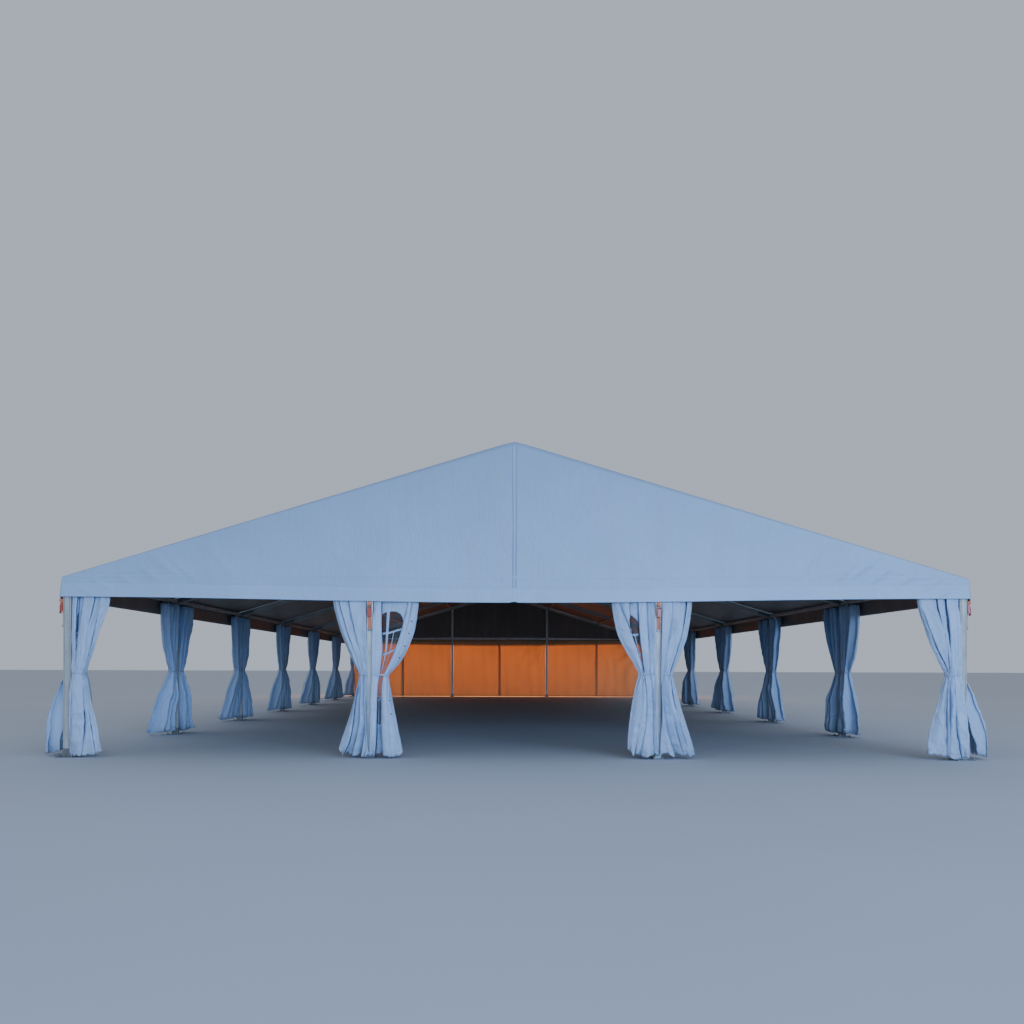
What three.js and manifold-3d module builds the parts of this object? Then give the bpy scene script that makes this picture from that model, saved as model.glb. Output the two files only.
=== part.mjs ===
import * as THREE from 'three';
import { mergeVertices } from 'three/addons/utils/BufferGeometryUtils.js';
import Module from 'manifold-3d';

// A clear-span frame marquee, 15 m across and six 5 m bays long, open on three sides.
// Millimetres. +X runs across the span, +Y along the length away from the open front gable, +Z up.
// The origin is on the ground at the centre of the plan.

const SPAN = 15000;
const BAY_LENGTH = 5000;
const BAYS = 6;
const RAFTER_TOP_AT_RIDGE = 5300;
const ROOF_SLOPE = 0.3019;
const SEAT_GAP = 0.3;

// Main extrusion of uprights and rafters
const PROFILE_DEPTH = 125;
const PROFILE_WIDTH = 70;

const BASE_PLATE_SIDE = 300;
const GABLE_PLATE_SIDE = 200;
const BASE_PLATE_THICKNESS = 12;

const PURLIN_SIDE = 60;
const PURLIN_LINES = [2500, 5000];
const RIDGE_PURLIN_DROP = 70;
const EAVE_PURLIN_HEIGHT = 80;
const EAVE_PURLIN_INSET = 20;

const GABLE_UPRIGHT_AT = 2416;
const GABLE_UPRIGHT_WIDTH = 100;
const GABLE_BEAM_BOTTOM = 2920;
const GABLE_BEAM_HEIGHT = 100;

// Coated fabric, modelled thicker than the real cloth
const COVER_THICKNESS = 8;
const COVER_EDGE = 7585;
const KEDER_EDGE = 20;
const VALANCE_FLARE = 30;
const VALANCE_BOTTOM = 2650;
const WALL_THICKNESS = 10;

// Gathered curtains
const POST_CLEARANCE = 12;
const CURTAIN_BOTTOM = BASE_PLATE_THICKNESS + 1;
const RING_SIDES = 10;
const FULL_SPREAD_AT = 0.82;
const WAIST_HALF_HEIGHT = 60;
const STRAP_THICKNESS = 20;
const STRAP_HEIGHT = 60;

const half = SPAN / 2;
const length = BAY_LENGTH * BAYS;
const slopeFactor = Math.hypot(1, ROOF_SLOPE);
const slopeAngle = Math.atan(ROOF_SLOPE);
const rafterDrop = PROFILE_DEPTH * slopeFactor;
const outerFace = half + PROFILE_DEPTH / 2;
const innerFace = half - PROFILE_DEPTH / 2;
const eavePurlinX = half - EAVE_PURLIN_INSET;
const eavePurlinZ = rafterTop(eavePurlinX) - rafterDrop / 2;
const eavePurlinBottom = eavePurlinZ - EAVE_PURLIN_HEIGHT / 2;
const gableFace = length / 2 + PROFILE_WIDTH / 2;

const materials = {
  aluminium: new THREE.MeshStandardMaterial({ color: 0xc4c2b8, roughness: 0.45, metalness: 0.85 }),
  roofFabric: new THREE.MeshStandardMaterial({ color: 0xe6eaee, roughness: 0.55 }),
  curtainFabric: new THREE.MeshStandardMaterial({ color: 0xeef1f3, roughness: 0.6 }),
};

const wasm = await Module();
wasm.setup();

function rafterTop(x) {
  return RAFTER_TOP_AT_RIDGE - ROOF_SLOPE * Math.abs(x);
}

function frameY(frame) {
  return frame * BAY_LENGTH - length / 2;
}

function toSolid(geometry) {
  const bare = geometry.clone();
  bare.deleteAttribute('normal');
  bare.deleteAttribute('uv');
  const merged = mergeVertices(bare, 1e-3);
  const vertProperties = new Float32Array(merged.attributes.position.array);
  const triVerts = new Uint32Array(merged.index.array);
  return new wasm.Manifold(new wasm.Mesh({ numProp: 3, vertProperties, triVerts }));
}

function toGeometry(solid) {
  const mesh = solid.getMesh();
  const geometry = new THREE.BufferGeometry();
  geometry.setAttribute('position', new THREE.BufferAttribute(new Float32Array(mesh.vertProperties), 3));
  geometry.setIndex(new THREE.BufferAttribute(new Uint32Array(mesh.triVerts), 1));
  geometry.computeVertexNormals();
  return geometry;
}

function box(low, high) {
  const size = high.map((value, axis) => value - low[axis]);
  const geometry = new THREE.BoxGeometry(size[0], size[1], size[2]);
  geometry.translate(low[0] + size[0] / 2, low[1] + size[1] / 2, low[2] + size[2] / 2);
  return geometry;
}

// An outline in the plane across the span, drawn in X and Z, given a thickness along Y
function acrossSpan(outline, nearY, farY) {
  const shape = new THREE.Shape(outline.map(([x, z]) => new THREE.Vector2(x, z)));
  const geometry = new THREE.ExtrudeGeometry(shape, { depth: farY - nearY, bevelEnabled: false });
  geometry.rotateX(Math.PI / 2);
  geometry.translate(0, farY, 0);
  return geometry;
}

const marquee = new THREE.Group();

function place(name, geometry, material) {
  const mesh = new THREE.Mesh(geometry, material);
  mesh.name = name;
  marquee.add(mesh);
}

// Uprights, each with the steel plate that it stands on
function basePlate(x, y, side) {
  const reach = side / 2;
  return toSolid(box([x - reach, y - reach, 0], [x + reach, y + reach, BASE_PLATE_THICKNESS]));
}

function postToRafter(x, y, width) {
  const low = BASE_PLATE_THICKNESS / 2;
  const left = x - width / 2;
  const right = x + width / 2;
  const top = (at) => rafterTop(at) - rafterDrop - SEAT_GAP;
  const outline = [[left, low], [right, low], [right, top(right)], [left, top(left)]];
  return toSolid(acrossSpan(outline, y - PROFILE_WIDTH / 2, y + PROFILE_WIDTH / 2));
}

function sideUpright(side, frame) {
  const x = side * half;
  const y = frameY(frame);
  return toGeometry(postToRafter(x, y, PROFILE_DEPTH).add(basePlate(x, y, BASE_PLATE_SIDE)));
}

// Purlin lines run the whole length, through a close slot in each rafter
function purlinBox(spread) {
  const side = PURLIN_SIDE + 2 * spread;
  return new THREE.BoxGeometry(side, length + PROFILE_WIDTH + 2 * spread, side);
}

function ridgePurlin(spread) {
  return purlinBox(spread).translate(0, 0, RAFTER_TOP_AT_RIDGE - RIDGE_PURLIN_DROP);
}

function roofPurlin(x, spread) {
  const turned = purlinBox(spread).rotateY(Math.sign(x) * slopeAngle);
  return turned.translate(x, 0, rafterTop(x) - rafterDrop / 2);
}

function eavePurlin(side, spread) {
  const width = PURLIN_SIDE + 2 * spread;
  const height = EAVE_PURLIN_HEIGHT + 2 * spread;
  const bar = new THREE.BoxGeometry(width, length + PROFILE_WIDTH + 2 * spread, height);
  return bar.translate(side * eavePurlinX, 0, eavePurlinZ);
}

function rafterPair(frame) {
  const y = frameY(frame);
  const outline = [
    [-outerFace, rafterTop(outerFace) - rafterDrop],
    [0, RAFTER_TOP_AT_RIDGE - rafterDrop],
    [outerFace, rafterTop(outerFace) - rafterDrop],
    [outerFace, rafterTop(outerFace)],
    [0, RAFTER_TOP_AT_RIDGE],
    [-outerFace, rafterTop(outerFace)],
  ];
  let pair = toSolid(acrossSpan(outline, y - PROFILE_WIDTH / 2, y + PROFILE_WIDTH / 2));
  pair = pair.subtract(toSolid(ridgePurlin(SEAT_GAP)));
  for (const side of [-1, 1]) {
    pair = pair.subtract(toSolid(eavePurlin(side, SEAT_GAP)));
    for (const x of PURLIN_LINES) {
      pair = pair.subtract(toSolid(roofPurlin(side * x, SEAT_GAP)));
    }
  }
  return toGeometry(pair);
}

// Gable frame: a beam at the eaves and the two uprights that split the gable into three
function gableFrame(y) {
  const top = GABLE_BEAM_BOTTOM + GABLE_BEAM_HEIGHT;
  const underRafter = RAFTER_TOP_AT_RIDGE - rafterDrop - SEAT_GAP * slopeFactor;
  const topEnd = (underRafter - top) / ROOF_SLOPE;
  const end = innerFace - SEAT_GAP;
  const shoulder = underRafter - ROOF_SLOPE * end;
  const outline = [
    [-end, GABLE_BEAM_BOTTOM],
    [end, GABLE_BEAM_BOTTOM],
    [end, shoulder],
    [topEnd, top],
    [-topEnd, top],
    [-end, shoulder],
  ];
  let frame = toSolid(acrossSpan(outline, y - PROFILE_WIDTH / 2, y + PROFILE_WIDTH / 2));
  for (const side of [-1, 1]) {
    const x = side * GABLE_UPRIGHT_AT;
    frame = frame.add(postToRafter(x, y, GABLE_UPRIGHT_WIDTH)).add(basePlate(x, y, GABLE_PLATE_SIDE));
  }
  return toGeometry(frame);
}

// Roof cover of one bay: one sheet from valance to valance over the ridge
function coverTop(x) {
  return rafterTop(x) + SEAT_GAP + COVER_THICKNESS * slopeFactor;
}

function roofCover(bay) {
  const nearY = bay === 0 ? -gableFace + SEAT_GAP : frameY(bay) + KEDER_EDGE;
  const farY = bay === BAYS - 1 ? gableFace - SEAT_GAP : frameY(bay + 1) - KEDER_EDGE;
  const inner = COVER_EDGE - COVER_THICKNESS;
  const outline = [
    [COVER_EDGE + VALANCE_FLARE, VALANCE_BOTTOM],
    [COVER_EDGE, coverTop(COVER_EDGE)],
    [0, coverTop(0)],
    [-COVER_EDGE, coverTop(COVER_EDGE)],
    [-COVER_EDGE - VALANCE_FLARE, VALANCE_BOTTOM],
    [-inner - VALANCE_FLARE, VALANCE_BOTTOM],
    [-inner, rafterTop(inner) + SEAT_GAP],
    [0, RAFTER_TOP_AT_RIDGE + SEAT_GAP],
    [inner, rafterTop(inner) + SEAT_GAP],
    [inner + VALANCE_FLARE, VALANCE_BOTTOM],
  ];
  return acrossSpan(outline, nearY, farY);
}

function gableCover(facing) {
  const outline = [
    [-COVER_EDGE - VALANCE_FLARE, VALANCE_BOTTOM],
    [COVER_EDGE + VALANCE_FLARE, VALANCE_BOTTOM],
    [COVER_EDGE, coverTop(COVER_EDGE)],
    [0, coverTop(0)],
    [-COVER_EDGE, coverTop(COVER_EDGE)],
  ];
  const near = facing * (gableFace + SEAT_GAP);
  const far = facing * (gableFace + SEAT_GAP + COVER_THICKNESS);
  return acrossSpan(outline, Math.min(near, far), Math.max(near, far));
}

// One gathered half curtain. Its sizes are measured from the face of its post, along the bay:
// wide under the beam, narrow at its tie, and wide again on the ground.
function ringOf(curtain, z, top) {
  const above = z > curtain.tie;
  const rise = Math.min(1, (z - curtain.tie) / (top - curtain.tie) / FULL_SPREAD_AT);
  const opening = (rise + Math.sin(rise * Math.PI / 2)) / 2;
  const atTie = Math.abs(z - curtain.tie) <= WAIST_HALF_HEIGHT;
  const share = atTie ? 0 : (above ? opening : 1 - z / curtain.tie);
  const wide = above ? curtain.top : curtain.hem;
  const deep = above ? curtain.topDepth : curtain.hemDepth;
  return {
    width: curtain.waist + (wide - curtain.waist) * share,
    depth: curtain.waistDepth + (deep - curtain.waistDepth) * share,
    shift: (above ? curtain.topShift : curtain.hemShift) * share,
  };
}

function gatheredHalf(curtain, top) {
  const { origin, along, across, start } = curtain;
  const rise = top - curtain.tie;
  const heights = [
    CURTAIN_BOTTOM,
    curtain.tie * 0.3,
    curtain.tie * 0.65,
    curtain.tie - WAIST_HALF_HEIGHT,
    curtain.tie + WAIST_HALF_HEIGHT,
    curtain.tie + rise * 0.28,
    curtain.tie + rise * 0.55,
    curtain.tie + rise * FULL_SPREAD_AT,
    top,
  ];
  const points = [];
  for (const height of heights) {
    const ring = ringOf(curtain, height, top);
    for (let i = 0; i < RING_SIDES; i += 1) {
      const angle = (i + 0.5) / RING_SIDES * 2 * Math.PI;
      const round = (value) => Math.sign(value) * Math.abs(value) ** 0.6;
      const u = start + ring.width / 2 * (1 + round(Math.cos(angle)) / round(Math.cos(Math.PI / RING_SIDES)));
      const v = ring.shift + ring.depth / 2 * round(Math.sin(angle));
      const x = origin[0] + along[0] * u + across[0] * v;
      const y = origin[1] + along[1] * u + across[1] * v;
      points.push(x, y, height);
    }
  }
  const mirrored = along[0] * across[1] - along[1] * across[0] < 0;
  const faces = [];
  const face = (a, b, c) => faces.push(...(mirrored ? [a, c, b] : [a, b, c]));
  for (let ring = 0; ring < heights.length - 1; ring += 1) {
    for (let i = 0; i < RING_SIDES; i += 1) {
      const here = ring * RING_SIDES + i;
      const next = ring * RING_SIDES + (i + 1) % RING_SIDES;
      face(here, next, next + RING_SIDES);
      face(here, next + RING_SIDES, here + RING_SIDES);
    }
  }
  const last = (heights.length - 1) * RING_SIDES;
  for (let i = 1; i < RING_SIDES - 1; i += 1) {
    face(0, i + 1, i);
    face(last, last + i, last + i + 1);
  }
  const geometry = new THREE.BufferGeometry();
  geometry.setAttribute('position', new THREE.Float32BufferAttribute(points, 3));
  geometry.setIndex(faces);
  return toSolid(geometry);
}

// The tie runs from one half to the other round the inner side of their post
function tie(centre, reach, inward, faceDistance, height) {
  const alongX = inward[1] !== 0;
  const nearFace = faceDistance + SEAT_GAP * 2;
  const low = [centre[0] - reach, centre[1] - reach, height - STRAP_HEIGHT / 2];
  const high = [centre[0] + reach, centre[1] + reach, height + STRAP_HEIGHT / 2];
  const axis = alongX ? 1 : 0;
  const from = centre[axis] + inward[axis] * nearFace;
  const to = centre[axis] + inward[axis] * (nearFace + STRAP_THICKNESS);
  low[axis] = Math.min(from, to);
  high[axis] = Math.max(from, to);
  return toSolid(box(low, high));
}

const sideHalf = {
  top: 830,
  waist: 210,
  hem: 620,
  topDepth: 140,
  waistDepth: 170,
  hemDepth: 420,
  topShift: 0,
  hemShift: 0,
};

const frontHalf = {
  topDepth: 120,
  waistDepth: 170,
  hemDepth: 420,
  topShift: -32,
  hemShift: 0,
};

const SIDE_TIE = 1450;

// Each post of the front gable: its place, the height of its ties and the widths of its two halves
const frontPosts = [
  { name: 'mid_left', x: -GABLE_UPRIGHT_AT, tie: 1370, out: [580, 130, 530], in: [790, 240, 530] },
  { name: 'mid_right', x: GABLE_UPRIGHT_AT, tie: 1450, out: [540, 185, 640], in: [730, 270, 520] },
];

const cornerPosts = [
  { name: 'front_left', side: -1, frame: 0, tie: 1410, across: [650, 260, 560], hemShift: 130 },
  { name: 'front_right', side: 1, frame: 0, tie: 1430, across: [730, 270, 600], hemShift: 200 },
];

function widths([top, waist, hem]) {
  return { top, waist, hem };
}

function frontMidCurtains(post) {
  const y = frameY(0);
  const start = GABLE_UPRIGHT_WIDTH / 2 + POST_CLEARANCE;
  const outward = Math.sign(post.x);
  const common = { ...frontHalf, origin: [post.x, y], across: [0, -1], start, tie: post.tie };
  const top = GABLE_BEAM_BOTTOM - SEAT_GAP;
  const outer = gatheredHalf({ ...common, ...widths(post.out), along: [outward, 0] }, top);
  const inner = gatheredHalf({ ...common, ...widths(post.in), along: [-outward, 0] }, top);
  const strap = tie([post.x, y], start + 70, [0, 1], PROFILE_WIDTH / 2, post.tie);
  return toGeometry(outer.add(inner).add(strap));
}

function sideCurtains(side, frame) {
  const origin = [side * half, frameY(frame)];
  const across = [side, 0];
  const start = PROFILE_WIDTH / 2 + POST_CLEARANCE;
  const shift = eavePurlinX - half;
  const common = { ...sideHalf, origin, across, start, tie: SIDE_TIE, topShift: shift };
  const top = eavePurlinBottom - SEAT_GAP;
  const near = gatheredHalf({ ...common, along: [0, -1] }, top);
  const far = gatheredHalf({ ...common, along: [0, 1] }, top);
  const strap = tie(origin, start + 70, [-side, 0], PROFILE_DEPTH / 2, SIDE_TIE);
  return toGeometry(near.add(far).add(strap));
}

function cornerCurtains(post) {
  const origin = [post.side * half, frameY(post.frame)];
  const acrossStart = PROFILE_DEPTH / 2 + POST_CLEARANCE;
  const alongStart = PROFILE_WIDTH / 2 + POST_CLEARANCE;
  const front = gatheredHalf({
    ...frontHalf,
    ...widths(post.across),
    origin,
    along: [-post.side, 0],
    across: [0, -1],
    start: acrossStart,
    tie: post.tie,
  }, GABLE_BEAM_BOTTOM - SEAT_GAP);
  const back = gatheredHalf({
    ...sideHalf,
    origin,
    along: [0, 1],
    across: [post.side, 0],
    start: alongStart,
    tie: post.tie,
    topShift: eavePurlinX - half,
    hemShift: post.hemShift,
  }, eavePurlinBottom - SEAT_GAP);
  const cornerX = origin[0] - post.side * (PROFILE_DEPTH / 2 + 5);
  const innerX = cornerX - post.side * 80;
  const low = [Math.min(cornerX, innerX), origin[1] + PROFILE_WIDTH / 2 + 5, post.tie - STRAP_HEIGHT / 2];
  const high = [Math.max(cornerX, innerX), low[1] + 80, post.tie + STRAP_HEIGHT / 2];
  return toGeometry(front.add(back).add(toSolid(box(low, high))));
}

function rearCornerCurtain(side) {
  const origin = [side * half, frameY(BAYS)];
  const start = PROFILE_WIDTH / 2 + POST_CLEARANCE;
  return toGeometry(gatheredHalf({
    ...sideHalf,
    origin,
    along: [0, -1],
    across: [side, 0],
    start,
    tie: SIDE_TIE,
    topShift: eavePurlinX - half,
  }, eavePurlinBottom - SEAT_GAP));
}

// Rear gable: the same curtains drawn closed between the posts
function closedCurtain(lowX, highX) {
  const y = frameY(BAYS);
  const top = GABLE_BEAM_BOTTOM - SEAT_GAP;
  return box([lowX, y - WALL_THICKNESS / 2, CURTAIN_BOTTOM], [highX, y + WALL_THICKNESS / 2, top]);
}

const sides = [['left', -1], ['right', 1]];

for (const [word, side] of sides) {
  for (let frame = 0; frame <= BAYS; frame += 1) {
    place(`upright_${word}_${frame + 1}`, sideUpright(side, frame), materials.aluminium);
  }
}

for (let frame = 0; frame <= BAYS; frame += 1) {
  place(`rafter_pair_${frame + 1}`, rafterPair(frame), materials.aluminium);
}

place('ridge_purlin', ridgePurlin(0), materials.aluminium);
for (const [word, side] of sides) {
  place(`eave_purlin_${word}`, eavePurlin(side, 0), materials.aluminium);
  place(`upper_purlin_${word}`, roofPurlin(side * PURLIN_LINES[0], 0), materials.aluminium);
  place(`lower_purlin_${word}`, roofPurlin(side * PURLIN_LINES[1], 0), materials.aluminium);
}

place('gable_frame_front', gableFrame(frameY(0)), materials.aluminium);
place('gable_frame_rear', gableFrame(frameY(BAYS)), materials.aluminium);

for (let bay = 0; bay < BAYS; bay += 1) {
  place(`roof_cover_bay_${bay + 1}`, roofCover(bay), materials.roofFabric);
}
place('gable_cover_front', gableCover(-1), materials.roofFabric);
place('gable_cover_rear', gableCover(1), materials.roofFabric);

for (const post of cornerPosts) {
  place(`curtains_${post.name}_corner`, cornerCurtains(post), materials.curtainFabric);
}
for (const post of frontPosts) {
  place(`curtains_front_${post.name}`, frontMidCurtains(post), materials.curtainFabric);
}
for (const [word, side] of sides) {
  for (let frame = 1; frame < BAYS; frame += 1) {
    place(`curtains_${word}_${frame + 1}`, sideCurtains(side, frame), materials.curtainFabric);
  }
  place(`curtain_rear_${word}_corner`, rearCornerCurtain(side), materials.curtainFabric);
}

const wallEnd = innerFace - POST_CLEARANCE;
const wallOuter = GABLE_UPRIGHT_AT + GABLE_UPRIGHT_WIDTH / 2 + POST_CLEARANCE;
const wallInner = GABLE_UPRIGHT_AT - GABLE_UPRIGHT_WIDTH / 2 - POST_CLEARANCE;
place('rear_wall_left', closedCurtain(-wallEnd, -wallOuter), materials.curtainFabric);
place('rear_wall_middle', closedCurtain(-wallInner, wallInner), materials.curtainFabric);
place('rear_wall_right', closedCurtain(wallOuter, wallEnd), materials.curtainFabric);

export default marquee;
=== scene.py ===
"""Dresses the frame of a clear-span marquee: extrusions, coated fabric, tied curtains and fixings."""

import math
import random
from types import SimpleNamespace

import bpy
import numpy as np
from bpy.props import FloatProperty, FloatVectorProperty, PointerProperty
from mathutils import Matrix, Vector


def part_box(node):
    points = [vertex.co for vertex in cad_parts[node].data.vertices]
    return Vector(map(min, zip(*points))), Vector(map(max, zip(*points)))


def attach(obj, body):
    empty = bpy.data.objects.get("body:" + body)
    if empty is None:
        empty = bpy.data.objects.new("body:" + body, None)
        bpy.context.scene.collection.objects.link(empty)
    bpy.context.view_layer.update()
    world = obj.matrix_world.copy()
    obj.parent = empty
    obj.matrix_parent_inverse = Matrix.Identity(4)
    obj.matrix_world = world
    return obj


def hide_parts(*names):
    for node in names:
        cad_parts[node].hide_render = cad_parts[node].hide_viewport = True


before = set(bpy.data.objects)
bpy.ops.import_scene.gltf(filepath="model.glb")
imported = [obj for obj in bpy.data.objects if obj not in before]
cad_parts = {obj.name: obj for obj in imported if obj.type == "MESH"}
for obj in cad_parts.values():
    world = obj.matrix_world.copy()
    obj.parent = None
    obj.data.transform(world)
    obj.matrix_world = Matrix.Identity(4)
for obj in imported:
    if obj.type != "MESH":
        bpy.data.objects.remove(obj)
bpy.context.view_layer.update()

bl_info = {
    "name": "Clear-span marquee",
    "version": (1, 0, 0),
    "blender": (4, 5, 0),
    "location": "View3D > Sidebar > Marquee",
    "description": "Builds the finish of a frame marquee around its packed frame",
    "category": "Object",
}


def node_middle(node, axis):
    """The middle of a node's box along one axis."""
    low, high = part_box(node)
    return (low[axis] + high[axis]) / 2


# Places read from the frame, in metres
SIDES = (("left", -1), ("right", 1))
FRAMES = sum(name.startswith("rafter_pair_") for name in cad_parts)
FRAME_Y = [node_middle(f"rafter_pair_{n + 1}", 1) for n in range(FRAMES)]
FRONT_Y, REAR_Y = FRAME_Y[0], FRAME_Y[-1]
UPRIGHT_X = node_middle("upright_right_1", 0)
RIDGE_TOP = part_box("rafter_pair_1")[1].z
FRAME_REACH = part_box("rafter_pair_1")[1].x
EAVE_BAR_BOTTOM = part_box("eave_purlin_left")[0].z
EAVE_BAR_X = node_middle("eave_purlin_right", 0)
COVER_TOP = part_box("gable_cover_front")[1].z
VALANCE_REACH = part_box("gable_cover_front")[1].x
VALANCE_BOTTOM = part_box("gable_cover_front")[0].z
GABLE_SHEET_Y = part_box("gable_cover_rear")[0].y

# Sizes of the extrusions and fittings, in metres
ROOF_SLOPE = 0.3019
PROFILE_DEPTH = 0.125
PROFILE_WIDTH = 0.070
GABLE_UPRIGHT_X = 2.416
GABLE_UPRIGHT_WIDTH = 0.100
GABLE_BEAM_BOTTOM = 2.920
GABLE_BEAM_HEIGHT = 0.100
BASE_PLATE = 0.300
GABLE_PLATE = 0.200
PLATE_THICKNESS = 0.012
PURLIN_LINES = {"upper": 2.5, "lower": 5.0}
PURLIN_SIDE = 0.060
EAVE_BAR_HEIGHT = 0.080
RIDGE_BAR_DROP = 0.070
COVER_EDGE = 7.585
SLOPE_FACTOR = math.hypot(1, ROOF_SLOPE)
RAFTER_DROP = PROFILE_DEPTH * SLOPE_FACTOR

# How the curtains hang, in metres
POST_CLEARANCE = 0.012
TRACK_DROP = 0.045
HEM_CLEARANCE = 0.014
TIE_HEIGHT = 1.45
CLOTH_HEIGHT = 2.88


def linear(hex_colour):
    """An sRGB hex colour as the linear red, green and blue that shaders take."""
    channels = [int(hex_colour[i:i + 2], 16) / 255 for i in (1, 3, 5)]
    return tuple(c / 12.92 if c <= 0.04045 else ((c + 0.055) / 1.055) ** 2.4 for c in channels)


def rafter_top(x):
    """Height of the rafters' top side at a place in X."""
    return RIDGE_TOP - ROOF_SLOPE * abs(x)


def cover_top(x):
    """Height of the roof's outer side at a place in X."""
    return COVER_TOP - ROOF_SLOPE * abs(x)


class MarqueeFrameSettings(bpy.types.PropertyGroup):
    groove_width: FloatProperty(
        name="Groove width", description="Opening of each keder groove", default=0.009, unit="LENGTH")
    groove_depth: FloatProperty(
        name="Groove depth", description="Depth of each keder groove", default=0.012, unit="LENGTH")
    corner: FloatProperty(
        name="Corner", description="Chamfer on the corners of the extrusions", default=0.004, unit="LENGTH")
    bolt_flats: FloatProperty(
        name="Bolt head", description="Radius of a bolt head across its corners", default=0.014,
        unit="LENGTH")
    aluminium: FloatVectorProperty(
        name="Aluminium", description="Mill-finished extrusions", subtype="COLOR", default=linear("#BFBEB6"))
    steel: FloatVectorProperty(
        name="Steel", description="Zinc-plated plates and bolts", subtype="COLOR", default=linear("#8F9293"))


class MarqueeCoverSettings(bpy.types.PropertyGroup):
    sag: FloatProperty(
        name="Sag", description="Drop of a roof cover midway between rafters", default=0.026, unit="LENGTH")
    thickness: FloatProperty(
        name="Cloth thickness", description="Thickness of the modelled cloth", default=0.004, unit="LENGTH")
    hem_height: FloatProperty(
        name="Gable hem", description="Height of the double band on the gable", default=0.240, unit="LENGTH")
    hem_bow: FloatProperty(
        name="Hem bow", description="How much lower the gable hem hangs at its middle", default=0.084,
        unit="LENGTH")
    # The cover cloth is white PVC: this darker, bluer colour is painted shade with a painted tint of blue sky
    # light
    colour: FloatVectorProperty(
        name="Roof cloth", description="Lacquered block-out cloth", subtype="COLOR",
        default=linear("#9AB1C9"))
    # The inner face's colour is painted shade: darker and browner than the cloth, for the shade under the
    # roof and the warm light that reaches it
    inner_painted_shade: FloatVectorProperty(
        name="Inner face", description="Grey block-out layer seen from inside", subtype="COLOR",
        default=linear("#776D63"))


class MarqueeCurtainSettings(bpy.types.PropertyGroup):
    flat_width: FloatProperty(
        name="Flat width", description="Width of half a curtain before it is gathered", default=2.5,
        unit="LENGTH")
    thickness: FloatProperty(
        name="Cloth thickness", description="Thickness of the modelled cloth", default=0.003, unit="LENGTH")
    # The curtains are the same white cloth as the covers: their pale blue is a painted tint of blue sky
    # light, set lighter than the covers' colour as painted light
    colour: FloatVectorProperty(
        name="Curtain cloth", description="Translucent coated cloth", subtype="COLOR",
        default=linear("#D2E6FC"))
    # The rear wall is the same white cloth: its cream is a painted warm glow of sunset light behind it
    rear: FloatVectorProperty(
        name="Rear wall cloth", description="The same cloth in cream", subtype="COLOR",
        default=linear("#E8C890"))
    film: FloatVectorProperty(
        name="Window film", description="Clear soft window film", subtype="COLOR", default=linear("#C9D2DA"))
    strap: FloatVectorProperty(
        name="Strap", description="Ratchet strap webbing", subtype="COLOR", default=linear("#EC8C64"))
    buckle: FloatVectorProperty(
        name="Buckle", description="Enamel on the ratchets", subtype="COLOR", default=linear("#B84C3A"))


class MarqueeStageSettings(bpy.types.PropertyGroup):
    floor: FloatVectorProperty(
        name="Floor", description="Plain pale floor", subtype="COLOR", default=linear("#B4B9C0"))
    backdrop: FloatVectorProperty(
        name="Backdrop", description="Plain pale surroundings", subtype="COLOR", default=linear("#B7C0CE"))
    backdrop_strength: FloatProperty(
        name="Backdrop strength", description="Brightness of the surroundings", default=1.0)


# Materials

WAVE_PERIOD = 2 * math.pi / 20


def add_node(tree, kind, inputs=None, **settings):
    """Adds a node. Each input gets a value, or the output socket that feeds it."""
    node = tree.nodes.new(kind)
    for name, value in settings.items():
        setattr(node, name, value)
    for name, value in (inputs or {}).items():
        if isinstance(value, bpy.types.NodeSocket):
            tree.links.new(value, node.inputs[name])
        else:
            node.inputs[name].default_value = value
    return node


def shade(colour, factor=1.0):
    """A colour made darker or lighter, with the alpha that sockets take."""
    return (*[channel * factor for channel in colour[:3]], 1)


def extruded_aluminium(tree, colour):
    """Extruded aluminium: soft grey metal with die lines along it and dull weathered patches."""
    along = add_node(tree, "ShaderNodeUVMap", uv_map="UVMap").outputs["UV"]
    # Die lines are under a millimetre apart and are drawn 6 mm apart so that they show
    die = add_node(tree, "ShaderNodeMapping", {"Vector": along, "Scale": (0.8, 160, 1)})
    lines = add_node(tree, "ShaderNodeTexNoise", {"Vector": die.outputs[0], "Scale": 1.0, "Detail": 3.0})
    spread = add_node(tree, "ShaderNodeMapping", {"Vector": along, "Scale": (3, 9, 1)})
    patches = add_node(tree, "ShaderNodeTexNoise", {
        "Vector": spread.outputs[0], "Scale": 1.0, "Detail": 6.0, "Roughness": 0.62})
    dull = add_node(tree, "ShaderNodeMapRange", {
        "Value": patches.outputs["Fac"], "From Min": 0.35, "From Max": 0.72})
    tint = add_node(tree, "ShaderNodeMix", {
        0: dull.outputs[0], 6: shade(colour), 7: shade(colour, 0.74)}, data_type="RGBA")
    rough = add_node(tree, "ShaderNodeMapRange", {
        "Value": patches.outputs["Fac"], "From Min": 0.3, "From Max": 0.75, "To Min": 0.5, "To Max": 0.72})
    bump = add_node(tree, "ShaderNodeBump", {
        "Height": lines.outputs["Fac"], "Strength": 0.4, "Distance": 0.0006})
    metal = add_node(tree, "ShaderNodeBsdfPrincipled", {
        "Base Color": tint.outputs[2], "Metallic": 0.3, "Roughness": rough.outputs[0],
        "Normal": bump.outputs[0]})
    return metal.outputs[0]


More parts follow.
